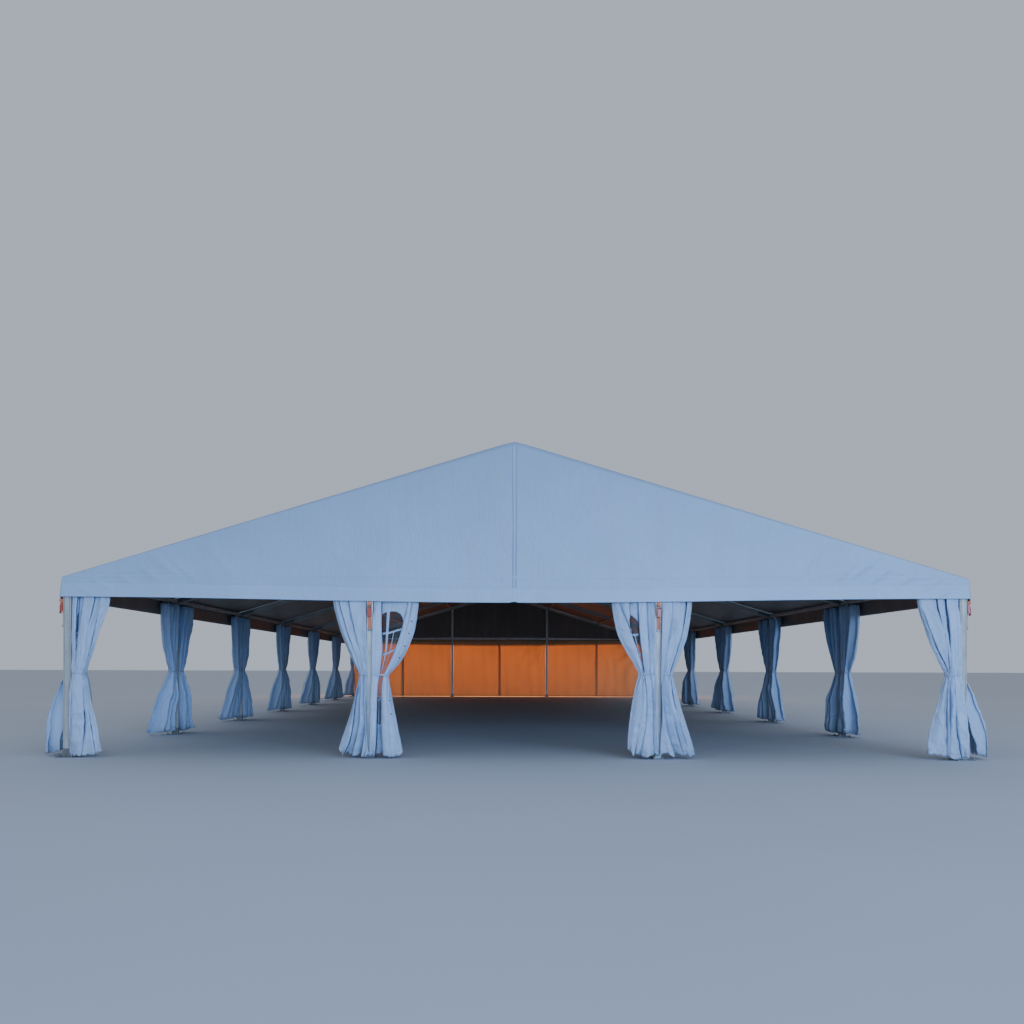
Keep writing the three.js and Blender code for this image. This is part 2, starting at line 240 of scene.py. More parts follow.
def zinc_plated_steel(tree, colour):
    """Plated mild steel: grey, faintly mottled, duller where it is scuffed."""
    place = add_node(tree, "ShaderNodeTexCoord").outputs["Object"]
    mottle = add_node(tree, "ShaderNodeTexNoise", {"Vector": place, "Scale": 35.0, "Detail": 5.0})
    tint = add_node(tree, "ShaderNodeMix", {
        0: mottle.outputs["Fac"], 6: shade(colour, 0.72), 7: shade(colour, 1.1)}, data_type="RGBA")
    rough = add_node(tree, "ShaderNodeMapRange", {
        "Value": mottle.outputs["Fac"], "To Min": 0.34, "To Max": 0.62})
    metal = add_node(tree, "ShaderNodeBsdfPrincipled", {
        "Base Color": tint.outputs[2], "Metallic": 0.9, "Roughness": rough.outputs[0]})
    return metal.outputs[0]


def coated_cloth(tree, colour, thread, hem_lines, edge_lines, see_through=0.0, stain_height=0.02, band=0.0,
                 relief=1.0):
    """Woven polyester under a smooth satin skin of white PVC: soft creases, run-off streaks, welded hems."""
    flat = add_node(tree, "ShaderNodeUVMap", uv_map="UVMap").outputs["UV"]
    place = add_node(tree, "ShaderNodeSeparateXYZ", {0: flat})
    # Broad clouding of the lacquer, over a metre or two
    cloud = add_node(tree, "ShaderNodeTexNoise", {
        "Vector": flat, "Scale": 0.55, "Detail": 4.0, "Roughness": 0.55})
    clouding = add_node(tree, "ShaderNodeMapRange", {
        "Value": cloud.outputs["Fac"], "From Min": 0.3, "From Max": 0.7, "To Max": 1.0})
    base = add_node(tree, "ShaderNodeMix", {
        0: clouding.outputs[0], 6: shade(colour, 0.93), 7: shade(colour, 1.03)}, data_type="RGBA")
    # Rain leaves faint grey streaks down the cloth, about 0.3 m apart
    run = add_node(tree, "ShaderNodeMapping", {"Vector": flat, "Scale": (3.4, 0.3, 1)})
    streak = add_node(tree, "ShaderNodeTexNoise", {"Vector": run.outputs[0], "Scale": 1.0, "Detail": 5.0})
    streaks = add_node(tree, "ShaderNodeMapRange", {
        "Value": streak.outputs["Fac"], "From Min": 0.5, "From Max": 0.8, "To Max": 0.3})
    washed = add_node(tree, "ShaderNodeMix", {
        0: streaks.outputs[0], 6: base.outputs[2], 7: shade(linear("#A3A6A0"))}, data_type="RGBA")
    # Splashed dirt climbs from the hem
    splash = add_node(tree, "ShaderNodeTexNoise", {
        "Vector": flat, "Scale": 9.0, "Detail": 6.0, "Roughness": 0.7})
    near_hem = add_node(tree, "ShaderNodeMapRange", {
        "Value": place.outputs[1], "From Min": 0.0, "From Max": stain_height, "To Min": 0.85, "To Max": 0.0})
    dirt = add_node(tree, "ShaderNodeMath", {
        0: near_hem.outputs[0], 1: splash.outputs["Fac"]}, operation="MULTIPLY")
    dirt_share = add_node(tree, "ShaderNodeMath", {0: dirt.outputs[0], 1: 2.0}, operation="POWER")
    soiled = add_node(tree, "ShaderNodeMix", {
        0: dirt_share.outputs[0], 6: washed.outputs[2], 7: shade(linear("#8C8375"))}, data_type="RGBA")
    # Welded hems and seams show as narrow lines
    lines = None
    for axis, mark in [(1, hem) for hem in hem_lines] + [(0, edge) for edge in edge_lines]:
        line = add_node(tree, "ShaderNodeMath", {
            0: place.outputs[axis], 1: mark, 2: 0.006}, operation="COMPARE").outputs[0]
        if lines:
            line = add_node(tree, "ShaderNodeMath", {0: line, 1: lines}, operation="MAXIMUM").outputs[0]
        lines = line
    seam_share = add_node(tree, "ShaderNodeMath", {0: lines, 1: 0.22}, operation="MULTIPLY")
    seamed = add_node(tree, "ShaderNodeMix", {
        0: seam_share.outputs[0], 6: soiled.outputs[2], 7: shade(linear("#7C8794"))}, data_type="RGBA")
    cloth = seamed.outputs[2]
    if band:
        # The double cloth of the hem lets less light through and reads a little brighter
        doubled = add_node(tree, "ShaderNodeMath", {0: place.outputs[1], 1: band}, operation="LESS_THAN")
        tone = add_node(tree, "ShaderNodeMapRange", {
            "Value": doubled.outputs[0], "To Min": 1.0, "To Max": 1.05})
        # A gable is darker towards its top, painted shade, and its last two centimetres turn up to the light,
        # a painted highlight
        shade_towards_top = add_node(tree, "ShaderNodeMapRange", {
            "Value": place.outputs[1], "From Min": 0.4, "From Max": 2.6, "To Min": 1.07, "To Max": 0.84})
        fold_edge = add_node(tree, "ShaderNodeMapRange", {
            "Value": place.outputs[1], "From Min": 0.014, "From Max": 0.030, "To Min": 1.12, "To Max": 1.0})
        for change in (shade_towards_top, fold_edge):
            tone = add_node(tree, "ShaderNodeMath", {
                0: tone.outputs[0], 1: change.outputs[0]}, operation="MULTIPLY")
        cloth = add_node(tree, "ShaderNodeVectorMath", {
            0: cloth, 3: tone.outputs[0]}, operation="SCALE").outputs[0]
    # Soft tension creases, and sharp ones left from the cloth's folding, 0.3 to 0.6 m apart
    crease = add_node(tree, "ShaderNodeMapping", {"Vector": flat, "Scale": (5.0, 1.6, 1)})
    creases = add_node(tree, "ShaderNodeTexNoise", {"Vector": crease.outputs[0], "Scale": 1.0, "Detail": 5.0})
    softly = add_node(tree, "ShaderNodeBump", {
        "Height": creases.outputs["Fac"], "Strength": 0.35 * relief, "Distance": 0.012})
    bent = add_node(tree, "ShaderNodeVectorMath", {0: flat, 1: creases.outputs["Color"]}, operation="ADD")
    folds = add_node(tree, "ShaderNodeTexVoronoi", {
        "Vector": bent.outputs[0], "Scale": 2.4}, feature="DISTANCE_TO_EDGE")
    sharp = add_node(tree, "ShaderNodeMapRange", {"Value": folds.outputs["Distance"], "From Max": 0.12})
    creased = add_node(tree, "ShaderNodeBump", {
        "Height": sharp.outputs[0], "Strength": 0.30 * relief, "Distance": 0.005,
        "Normal": softly.outputs[0]})
    weft = add_node(tree, "ShaderNodeTexWave", {
        "Vector": flat, "Scale": WAVE_PERIOD / thread}, bands_direction="X")
    warp = add_node(tree, "ShaderNodeTexWave", {
        "Vector": flat, "Scale": WAVE_PERIOD / thread}, bands_direction="Y")
    weave = add_node(tree, "ShaderNodeMath", {
        0: weft.outputs["Fac"], 1: warp.outputs["Fac"]}, operation="MULTIPLY")
    woven = add_node(tree, "ShaderNodeBump", {
        "Height": weave.outputs[0], "Strength": 0.12, "Distance": 0.0004, "Normal": creased.outputs[0]})
    rough = add_node(tree, "ShaderNodeMapRange", {
        "Value": splash.outputs["Fac"], "To Min": 0.38, "To Max": 0.56})
    skin = add_node(tree, "ShaderNodeBsdfPrincipled", {
        "Base Color": cloth, "Roughness": rough.outputs[0], "IOR": 1.52,
        "Normal": woven.outputs[0]})
    if not see_through:
        return skin.outputs[0]
    glow = add_node(tree, "ShaderNodeBsdfTranslucent", {"Color": cloth, "Normal": creased.outputs[0]})
    return add_node(tree, "ShaderNodeMixShader", {
        0: see_through, 1: skin.outputs[0], 2: glow.outputs[0]}).outputs[0]


def clear_window_film(tree, colour):
    """Soft clear PVC sheet: glossy, slightly milky, with long shallow waves in its surface."""
    flat = add_node(tree, "ShaderNodeUVMap", uv_map="UVMap").outputs["UV"]
    waves = add_node(tree, "ShaderNodeTexNoise", {"Vector": flat, "Scale": 3.5, "Detail": 2.0})
    bump = add_node(tree, "ShaderNodeBump", {
        "Height": waves.outputs["Fac"], "Strength": 0.5, "Distance": 0.02})
    skin = add_node(tree, "ShaderNodeBsdfPrincipled", {
        "Base Color": shade(colour, 0.35), "Roughness": 0.12, "IOR": 1.53, "Alpha": 0.07,
        "Normal": bump.outputs[0]})
    return skin.outputs[0]


def strap_webbing(tree, colour):
    """Orange polyester webbing: a ribbed weave across the strap, faded along its edges."""
    flat = add_node(tree, "ShaderNodeUVMap", uv_map="UVMap").outputs["UV"]
    # The ribs are 2 mm apart and are drawn 8 mm apart
    ribs = add_node(tree, "ShaderNodeTexWave", {
        "Vector": flat, "Scale": WAVE_PERIOD / 0.008, "Distortion": 1.2}, bands_direction="DIAGONAL")
    fade = add_node(tree, "ShaderNodeTexNoise", {"Vector": flat, "Scale": 14.0, "Detail": 4.0})
    tint = add_node(tree, "ShaderNodeMix", {
        0: fade.outputs["Fac"], 6: shade(colour, 0.7), 7: shade(colour, 1.15)}, data_type="RGBA")
    bump = add_node(tree, "ShaderNodeBump", {
        "Height": ribs.outputs["Fac"], "Strength": 0.5, "Distance": 0.0008})
    cloth = add_node(tree, "ShaderNodeBsdfPrincipled", {
        "Base Color": tint.outputs[2], "Roughness": 0.8, "Sheen Weight": 0.2, "Normal": bump.outputs[0]})
    return cloth.outputs[0]


def chipped_enamel(tree, colour):
    """Red stove enamel on pressed steel: glossy, chipped to grey in small spots."""
    place = add_node(tree, "ShaderNodeTexCoord").outputs["Object"]
    chips = add_node(tree, "ShaderNodeTexNoise", {"Vector": place, "Scale": 60.0, "Detail": 4.0})
    bare = add_node(tree, "ShaderNodeMapRange", {
        "Value": chips.outputs["Fac"], "From Min": 0.66, "From Max": 0.7})
    tint = add_node(tree, "ShaderNodeMix", {
        0: bare.outputs[0], 6: shade(colour), 7: shade(linear("#9A9C9C"))}, data_type="RGBA")
    paint = add_node(tree, "ShaderNodeBsdfPrincipled", {
        "Base Color": tint.outputs[2], "Roughness": 0.32, "IOR": 1.5, "Coat Weight": 0.3})
    return paint.outputs[0]


def black_nylon(tree, colour):
    """Moulded black nylon and blackened brass: small fittings that read as dark dots."""
    place = add_node(tree, "ShaderNodeTexCoord").outputs["Object"]
    scuff = add_node(tree, "ShaderNodeTexNoise", {"Vector": place, "Scale": 90.0, "Detail": 3.0})
    rough = add_node(tree, "ShaderNodeMapRange", {
        "Value": scuff.outputs["Fac"], "To Min": 0.35, "To Max": 0.6})
    nylon = add_node(tree, "ShaderNodeBsdfPrincipled", {
        "Base Color": shade(colour), "Roughness": rough.outputs[0], "IOR": 1.53})
    return nylon.outputs[0]


def painted_floor(tree, colour):
    """Matt floor paint, faintly clouded."""
    place = add_node(tree, "ShaderNodeTexCoord").outputs["Object"]
    cloud = add_node(tree, "ShaderNodeTexNoise", {"Vector": place, "Scale": 0.25, "Detail": 5.0})
    tint = add_node(tree, "ShaderNodeMix", {
        0: cloud.outputs["Fac"], 6: shade(colour, 0.94), 7: shade(colour, 1.05)}, data_type="RGBA")
    paint = add_node(tree, "ShaderNodeBsdfPrincipled", {"Base Color": tint.outputs[2], "Roughness": 0.85})
    return paint.outputs[0]


# Threads are 1.1 mm apart and are drawn 12 mm apart on the roof and 9 mm on the curtains
ROOF_CLOTH = {"thread": 0.012, "hem_lines": (0.05,), "edge_lines": (0.0,)}
CURTAIN_CLOTH = {"thread": 0.009, "hem_lines": (0.075, 2.8), "edge_lines": (0.06, 2.44),
                 "see_through": 0.38, "stain_height": 0.45}


def finish_makers(scene):
    """For each finish its maker, its colour in the settings, and what else the maker needs."""
    metals, covers, curtains = scene.marquee_frame, scene.marquee_covers, scene.marquee_curtains
    gable_cloth = {**ROOF_CLOTH, "hem_lines": (0.236, 0.40), "edge_lines": (0.042,),
                   "band": covers.hem_height}
    return {
        "mill_finished_aluminium": (extruded_aluminium, metals.aluminium, {}),
        # The gable uprights are paler than the corner legs, a painted highlight against the shade that the
        # curtain halves cast on them
        "aluminium_lightened_as_painted_light": (extruded_aluminium, shade(metals.aluminium, 1.5), {}),
        "zinc_plated_steel": (zinc_plated_steel, metals.steel, {}),
        # The covers' colour holds painted shade and a painted blue sky tint
        "lacquered_roof_cloth": (coated_cloth, covers.colour, ROOF_CLOTH),
        "lacquered_gable_cloth": (coated_cloth, covers.colour, gable_cloth),
        # The roof's inner face carries painted shade and a painted warm tint
        "inner_face_painted_shade": (coated_cloth, covers.inner_painted_shade, ROOF_CLOTH),
        # The curtain colour holds a painted blue sky tint
        "translucent_curtain_cloth": (coated_cloth, curtains.colour, {**CURTAIN_CLOTH, "relief": 3.3}),
        # The rear wall's cloth carries a painted warm glow
        "rear_cloth_painted_sunset_glow": (coated_cloth, curtains.rear, CURTAIN_CLOTH),
        "clear_window_film": (clear_window_film, curtains.film, {}),
        "polyester_strap_webbing": (strap_webbing, curtains.strap, {}),
        "red_stove_enamel": (chipped_enamel, curtains.buckle, {}),
        "black_nylon": (black_nylon, linear("#23252B"), {}),
        "painted_studio_floor": (painted_floor, scene.marquee_stage.floor, {}),
    }


def finish_named(name):
    """Returns the material of that finish, made from the scene's settings when it is first needed."""
    if name not in bpy.data.materials:
        maker, colour, facts = finish_makers(bpy.context.scene)[name]
        material = bpy.data.materials.new(name)
        material.use_nodes = True
        tree = material.node_tree
        tree.nodes.clear()
        add_node(tree, "ShaderNodeOutputMaterial", {"Surface": maker(tree, colour, **facts)})
    return bpy.data.materials[name]


# Meshes


def link_new(name, data):
    """A new object in the scene, for a mesh, a light or a camera."""
    made = bpy.data.objects.new(name, data)
    bpy.context.scene.collection.objects.link(made)
    return made


def settle(piece, finish, replaced=()):
    """Puts a finished piece on the frame's body and hides the nodes that it stands for."""
    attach(piece, "root")
    if replaced:
        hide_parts(*replaced)
    return piece


def chamfered(x, y, corner):
    """The outline of a bar of half widths x and y, anticlockwise, with its corners cut off."""
    return [(-x + corner, -y), (x - corner, -y), (x, -y + corner), (x, y - corner),
            (x - corner, y), (-x + corner, y), (-x, y - corner), (-x, -y + corner)]


class Shape:
    """Points, faces and flat coordinates of a piece while it is put together."""

    def __init__(self):
        self.points = []
        self.faces = []
        self.flat = []
        self.kinds = []

    def face(self, corners, flat, kind=0):
        self.faces.append(tuple(corners))
        self.flat.append(flat)
        self.kinds.append(kind)

    def rings(self, rings, kind=0):
        """A closed solid through rings of points, all with the same count, ending in two flat caps."""
        rings = np.asarray(rings, float)
        count, sides = rings.shape[:2]
        first = len(self.points)
        self.points.extend(map(tuple, rings.reshape(-1, 3)))
        steps = np.linalg.norm(np.diff(rings.mean(axis=1), axis=0), axis=1)
        along = np.concatenate([[0], np.cumsum(steps)])
        edges = np.linalg.norm(np.diff(np.vstack([rings[0], rings[0][:1]]), axis=0), axis=1)
        around = np.concatenate([[0], np.cumsum(edges)])
        for k in range(count - 1):
            low, high = first + k * sides, first + (k + 1) * sides
            for i in range(sides):
                j = (i + 1) % sides
                self.face((low + i, low + j, high + j, high + i),
                          [(along[k], around[i]), (along[k], around[i + 1]),
                           (along[k + 1], around[i + 1]), (along[k + 1], around[i])], kind)
        last = first + (count - 1) * sides
        self.face(range(first, first + sides)[::-1], [(0, far) for far in around[:sides][::-1]], kind)
        self.face(range(last, last + sides), [(along[-1], far) for far in around[:sides]], kind)

    def block(self, middle, size, chamfer=0.002, turn=None, kind=0):
        """A bar with chamfered corners, turned about its middle."""
        half_x, half_y, half_z = (value / 2 for value in size)
        turn = turn or Matrix.Identity(3)
        rings = []
        for z, inset in ((-half_z, chamfer), (chamfer - half_z, 0), (half_z - chamfer, 0), (half_z, chamfer)):
            outline = chamfered(half_x - inset, half_y - inset, chamfer)
            rings.append([Vector(middle) + turn @ Vector((a, b, z)) for a, b in outline])
        self.rings(rings, kind)

    def finish(self, name, finishes, replaced=(), smooth=False):
        """The piece itself. Its faces' kinds count through the finishes."""
        mesh = bpy.data.meshes.new(name)
        mesh.from_pydata(self.points, [], self.faces)
        flat = mesh.uv_layers.new(name="UVMap")
        flat.data.foreach_set("uv", [value for face in self.flat for pair in face for value in pair])
        for finish in finishes:
            mesh.materials.append(finish_named(finish))
        mesh.polygons.foreach_set("material_index", self.kinds)
        mesh.polygons.foreach_set("use_smooth", [smooth] * len(self.faces))
        mesh.update()
        return settle(link_new(name, mesh), finishes[0], replaced)


def sheet_piece(name, points, flat, finish, thickness, outward, keep=None, replaced=(), inside=None):
    """A cloth on a grid of points. Its outside looks along outward. keep masks the cells that are cloth."""
    rows, columns = points.shape[:2]
    index = np.arange(rows * columns).reshape(rows, columns)
    cells = np.stack([index[:-1, :-1], index[:-1, 1:], index[1:, 1:], index[1:, :-1]], axis=-1)
    across = points[rows // 2, 1:] - points[rows // 2, :-1]
    up = points[rows // 2 + 1, :-1] - points[rows // 2, :-1]
    if np.dot(np.cross(across, up).sum(axis=0), outward) < 0:
        cells = cells[..., ::-1]
    faces = cells.reshape(-1, 4) if keep is None else cells[keep]
    used, compact = np.unique(faces, return_inverse=True)
    mesh = bpy.data.meshes.new(name)
    mesh.from_pydata(points.reshape(-1, 3)[used].tolist(), [], compact.reshape(faces.shape).tolist())
    layer = mesh.uv_layers.new(name="UVMap")
    layer.data.foreach_set("uv", flat.reshape(-1, 2)[faces.ravel()].ravel())
    mesh.materials.append(finish_named(finish))
    mesh.polygons.foreach_set("use_smooth", [True] * len(faces))
    mesh.update()
    piece = link_new(name, mesh)
    solidify = piece.modifiers.new("cloth_thickness", "SOLIDIFY")
    solidify.thickness = thickness
    solidify.offset = 0
    if inside:
        mesh.materials.append(finish_named(inside))
        solidify.material_offset = 1
    return settle(piece, finish, replaced)


def ripples(x, y, seed, waves=7):
    """Smooth unevenness of about -1 to 1: sine waves in seeded directions, one wave long per unit."""
    draw = random.Random(seed)
    total = 0
    for _ in range(waves):
        turn = draw.uniform(0, math.pi)
        pitch = draw.uniform(0.6, 1.6) * 2 * math.pi
        total = total + np.sin(pitch * (x * math.cos(turn) + y * math.sin(turn)) + draw.uniform(0, 6.28))
    return total / math.sqrt(waves)


def crumples(x, y, seed):
    """Sharp-ridged unevenness of about 0 to 1, as stiff coated cloth creases."""
    return 1 - np.clip(np.abs(ripples(x, y, seed, 5)) * 1.3, 0, 1)


def ease(value):
    """A smooth step from 0 to 1."""
    value = np.clip(value, 0, 1)
    return value * value * (3 - 2 * value)


def bell(value, width):
    """A smooth hump, 1 where the value is 0."""
    return np.exp(-(value / width) ** 2)


# Frame

MILL_AND_STEEL = ["mill_finished_aluminium", "zinc_plated_steel"]
FIT = 0.001
GROOVE_FROM_EDGE = 0.020
SHOE_WALL = 0.006
SHOE_HEIGHT = 0.13
PEG_INSET = 0.028
# A ground peg's profile from its shank to its head: height and radius
PEG = ((0.001, 0.011), (0.026, 0.011), (0.028, 0.019), (0.036, 0.019), (0.039, 0.013))


def profile_section(depth, looks):
    """Outline of an extrusion, anticlockwise: two keder grooves in each wide face, one in each narrow one."""
    opening, inset, corner = looks.groove_width / 2, looks.groove_depth, looks.corner
    groove = depth / 2 - GROOVE_FROM_EDGE
    half = []
    for reach, grooves, place in (
            (depth / 2, (-groove, groove), lambda t, n: (t, n - PROFILE_WIDTH / 2)),
            (PROFILE_WIDTH / 2, (0.0,), lambda t, n: (depth / 2 - n, t))):
        half.append(place(corner - reach, 0))
        for middle in grooves:
            half += [place(middle - opening, 0), place(middle - opening, inset),
                     place(middle + opening, inset), place(middle + opening, 0)]
        half.append(place(reach - corner, 0))
    return half + [(-a, -b) for a, b in half]


def add_post(shape, x, y, depth, plate, looks):
    """An upright from its plate to the underside of the rafter, with its plate, shoe and pegs."""
    section = profile_section(depth, looks)
    shape.rings([[(x + a, y + b, PLATE_THICKNESS) for a, b in section],
                 [(x + a, y + b, rafter_top(x + a) - RAFTER_DROP - FIT) for a, b in section]])
    shape.block((x, y, PLATE_THICKNESS / 2), (plate, plate, PLATE_THICKNESS), 0.003, kind=1)
    z = PLATE_THICKNESS + SHOE_HEIGHT / 2
    for side in (-1, 1):
        shape.block((x + side * (depth + SHOE_WALL) / 2, y, z),
                    (SHOE_WALL, PROFILE_WIDTH + 2 * SHOE_WALL, SHOE_HEIGHT), 0.001, kind=1)
        shape.block((x, y + side * (PROFILE_WIDTH + SHOE_WALL) / 2, z),
                    (depth, SHOE_WALL, SHOE_HEIGHT), 0.001, kind=1)
    reach = plate / 2 - PEG_INSET
    turns = [(math.cos(k * math.pi / 5), math.sin(k * math.pi / 5)) for k in range(10)]
    for across, ahead in ((-1, -1), (1, -1), (1, 1), (-1, 1)):
        shape.rings([[(x + across * reach + r * a, y + ahead * reach + r * b, z) for a, b in turns]
                     for z, r in PEG], kind=1)


def make_uprights(looks):
    """An upright on its base plate under both ends of every frame."""
    for word, side in SIDES:
        for frame_number, y in enumerate(FRAME_Y, 1):
            shape = Shape()
            add_post(shape, side * UPRIGHT_X, y, PROFILE_DEPTH, BASE_PLATE, looks)
            node = f"upright_{word}_{frame_number}"
            shape.finish(f"{node}_extrusion", MILL_AND_STEEL, [node])


def open_faces(y):
    """Both faces of a rafter along Y, or only the inner one where a gable lies on the other."""
    return [face for face in (-1, 1) if FRONT_Y < y + face < REAR_Y]


def make_rafters(looks):
    """Both rafters of every frame, in one piece with the plates at their joints."""
    section = profile_section(RAFTER_DROP, looks)
    ridge_gap = 0.0015
    for frame_number, y in enumerate(FRAME_Y, 1):
        shape = Shape()
        for side in (-1, 1):
            shape.rings([[(x, y - b * side, rafter_top(x) - RAFTER_DROP / 2 + a) for a, b in section]
                         for x in (side * ridge_gap, side * FRAME_REACH)])
        # The plates that join the two halves at the ridge, and each rafter to its upright
        for face in open_faces(y):
            plate_y = y + face * (PROFILE_WIDTH / 2 + 0.003)
            for side in (-1, 1):
                turn = Matrix.Rotation(side * math.atan(ROOF_SLOPE), 3, "Y")
                for x, length in ((side * 0.16, 0.30), (side * (FRAME_REACH - 0.24), 0.42)):
                    middle = (x, plate_y, rafter_top(x) - RAFTER_DROP / 2)
                    shape.block(middle, (length, 0.005, 0.074), 0.001, turn, kind=1)
        node = f"rafter_pair_{frame_number}"
        shape.finish(f"{node}_extrusion", MILL_AND_STEEL, [node])


def gable_bays(clearance):
    """From and to in X of a gable's three bays, between the uprights."""
    inner = UPRIGHT_X - PROFILE_DEPTH / 2 - clearance
    post = GABLE_UPRIGHT_WIDTH / 2 + clearance
    return ((-inner, -GABLE_UPRIGHT_X - post), (-GABLE_UPRIGHT_X + post, GABLE_UPRIGHT_X - post),
            (GABLE_UPRIGHT_X + post, inner))


def make_gable_frames(looks):
    """Two uprights at each end, and a beam and a curtain rail in each of the three bays."""
    section = profile_section(GABLE_BEAM_HEIGHT, looks)
    middle = GABLE_BEAM_BOTTOM + GABLE_BEAM_HEIGHT / 2
    bays = gable_bays(FIT)
    inner = bays[-1][1]
    top = rafter_top(inner) - RAFTER_DROP - FIT
    for word, y in (("front", FRONT_Y), ("rear", REAR_Y)):
        shape = Shape()
        for side in (-1, 1):
            add_post(shape, side * GABLE_UPRIGHT_X, y, GABLE_UPRIGHT_WIDTH, GABLE_PLATE, looks)
        for low, high in bays:
            rings = []
            for x in (low, low + 0.1, high - 0.1, high):
                # The beam's ends are cut to the rafters above them
                drop = max(0.0, middle + GABLE_BEAM_HEIGHT / 2 - (top + ROOF_SLOPE * (inner - abs(x))))
                share = 1 - drop / GABLE_BEAM_HEIGHT
                rings.append([(x, y - b, middle - drop / 2 + a * share) for a, b in section])
            shape.rings(rings)
            # The rail that the curtain hooks run in
            shape.block(((low + high) / 2, y, GABLE_BEAM_BOTTOM - 0.006), (high - low - 0.04, 0.026, 0.012))
        node = f"gable_frame_{word}"
        # The uprights take the aluminium lightened as a painted highlight
        shape.finish(f"{node}_extrusion", ["aluminium_lightened_as_painted_light", "zinc_plated_steel"], [node])


def make_purlins():
    """Each line is one tube in every bay, hooked to the rafters by a plate at both ends."""
    lines = [("ridge_purlin", 0.0, RIDGE_TOP - RIDGE_BAR_DROP, 0.0, PURLIN_SIDE)]
    for word, side in SIDES:
        eave_z = EAVE_BAR_BOTTOM + EAVE_BAR_HEIGHT / 2
        lines.append((f"eave_purlin_{word}", side * EAVE_BAR_X, eave_z, 0.0, EAVE_BAR_HEIGHT))
        for line, x in PURLIN_LINES.items():
            tilt = side * math.atan(ROOF_SLOPE)
            z = rafter_top(x) - RAFTER_DROP / 2
            lines.append((f"{line}_purlin_{word}", side * x, z, tilt, PURLIN_SIDE))
    for node, x, z, tilt, height in lines:
        shape = Shape()
        turn = Matrix.Rotation(tilt, 3, "Y")
        section = [turn @ Vector((a, 0, b)) for a, b in chamfered(PURLIN_SIDE / 2, height / 2, 0.008)]
        for near, far in zip(FRAME_Y, FRAME_Y[1:]):
            ends = (near + PROFILE_WIDTH / 2 + 0.004, far - PROFILE_WIDTH / 2 - 0.004)
            shape.rings([[(x + p.x, y, z + p.z) for p in reversed(section)] for y in ends])
            for y, inward in zip(ends, (1, -1)):
                shape.block((x, y + inward * 0.002, z), (0.05, 0.006, height + 0.026), 0.001, turn, kind=1)
                shape.block((x, y + inward * 0.045, z - height / 2 - 0.003), (0.05, 0.09, 0.005), 0.001, turn,
                            kind=1)
        shape.finish(f"{node}_bars", MILL_AND_STEEL, [node])


# Fittings that repeat, by Geometry Nodes

def new_fitting_tree(name, sizes):
    """A tree with a points socket, one named length for each size, and a material."""
    tree = bpy.data.node_groups.new(name, "GeometryNodeTree")
    tree.interface.new_socket("Geometry", in_out="INPUT", socket_type="NodeSocketGeometry")
    tree.interface.new_socket("Geometry", in_out="OUTPUT", socket_type="NodeSocketGeometry")
    for size, value in sizes.items():
        socket = tree.interface.new_socket(size, in_out="INPUT", socket_type="NodeSocketFloat")
        socket.default_value = value
    tree.interface.new_socket("Material", in_out="INPUT", socket_type="NodeSocketMaterial")
    return tree, tree.nodes.new("NodeGroupInput").outputs


def stand_on_points(tree, entry, parts):
    """Joins the parts of a fitting, stands it on every point, facing out, and makes the copies real."""
    fitting = add_node(tree, "GeometryNodeJoinGeometry")
    for part in parts:
        tree.links.new(part, fitting.inputs[0])
    facing = add_node(tree, "GeometryNodeInputNamedAttribute", {"Name": "facing"}, data_type="FLOAT_VECTOR")
    turn = add_node(tree, "FunctionNodeAlignRotationToVector", {
        "Vector": facing.outputs["Attribute"]}, axis="Z")
    copies = add_node(tree, "GeometryNodeInstanceOnPoints", {
        "Points": entry["Geometry"], "Instance": fitting.outputs[0], "Rotation": turn.outputs[0]})
    real = add_node(tree, "GeometryNodeRealizeInstances", {"Geometry": copies.outputs[0]})
    painted = add_node(tree, "GeometryNodeSetMaterial", {
        "Geometry": real.outputs[0], "Material": entry["Material"]})
    add_node(tree, "NodeGroupOutput", {"Geometry": painted.outputs[0]})
    return tree


def wire_ring(tree, radius, wire_radius):
    """A ring of square wire, lying flat."""
    path = add_node(tree, "GeometryNodeCurvePrimitiveCircle", {"Resolution": 10, "Radius": radius})
    wire = add_node(tree, "GeometryNodeCurvePrimitiveCircle", {"Resolution": 4, "Radius": wire_radius})
    return add_node(tree, "GeometryNodeCurveToMesh", {
        "Curve": path.outputs[0], "Profile Curve": wire.outputs[0]}).outputs[0]


def lifted(tree, solid, height, factor, rise=0.0, turn=(0, 0, 0)):
    """The solid turned, then moved up by a factor of a height and by a fixed rise."""
    z = add_node(tree, "ShaderNodeMath", {0: height, 1: factor, 2: rise}, operation="MULTIPLY_ADD")
    offset = add_node(tree, "ShaderNodeCombineXYZ", {2: z.outputs[0]})
    return add_node(tree, "GeometryNodeTransform", {
        "Geometry": solid, "Translation": offset.outputs[0], "Rotation": turn}).outputs[0]


def hex_bolt_tree():
    """A hexagonal head on a round washer."""
    tree, entry = new_fitting_tree("hex_bolt", {
        "Head radius": 0.014, "Head height": 0.010, "Washer radius": 0.02, "Washer height": 0.003})
    parts = []
    for name, sides, rise in (("Head", 6, 0.003), ("Washer", 12, 0.0)):
        height = entry[f"{name} height"]
        prism = add_node(tree, "GeometryNodeMeshCylinder", {
            "Vertices": sides, "Radius": entry[f"{name} radius"], "Depth": height})
        parts.append(lifted(tree, prism.outputs[0], height, 0.5, rise))
    return stand_on_points(tree, entry, parts)


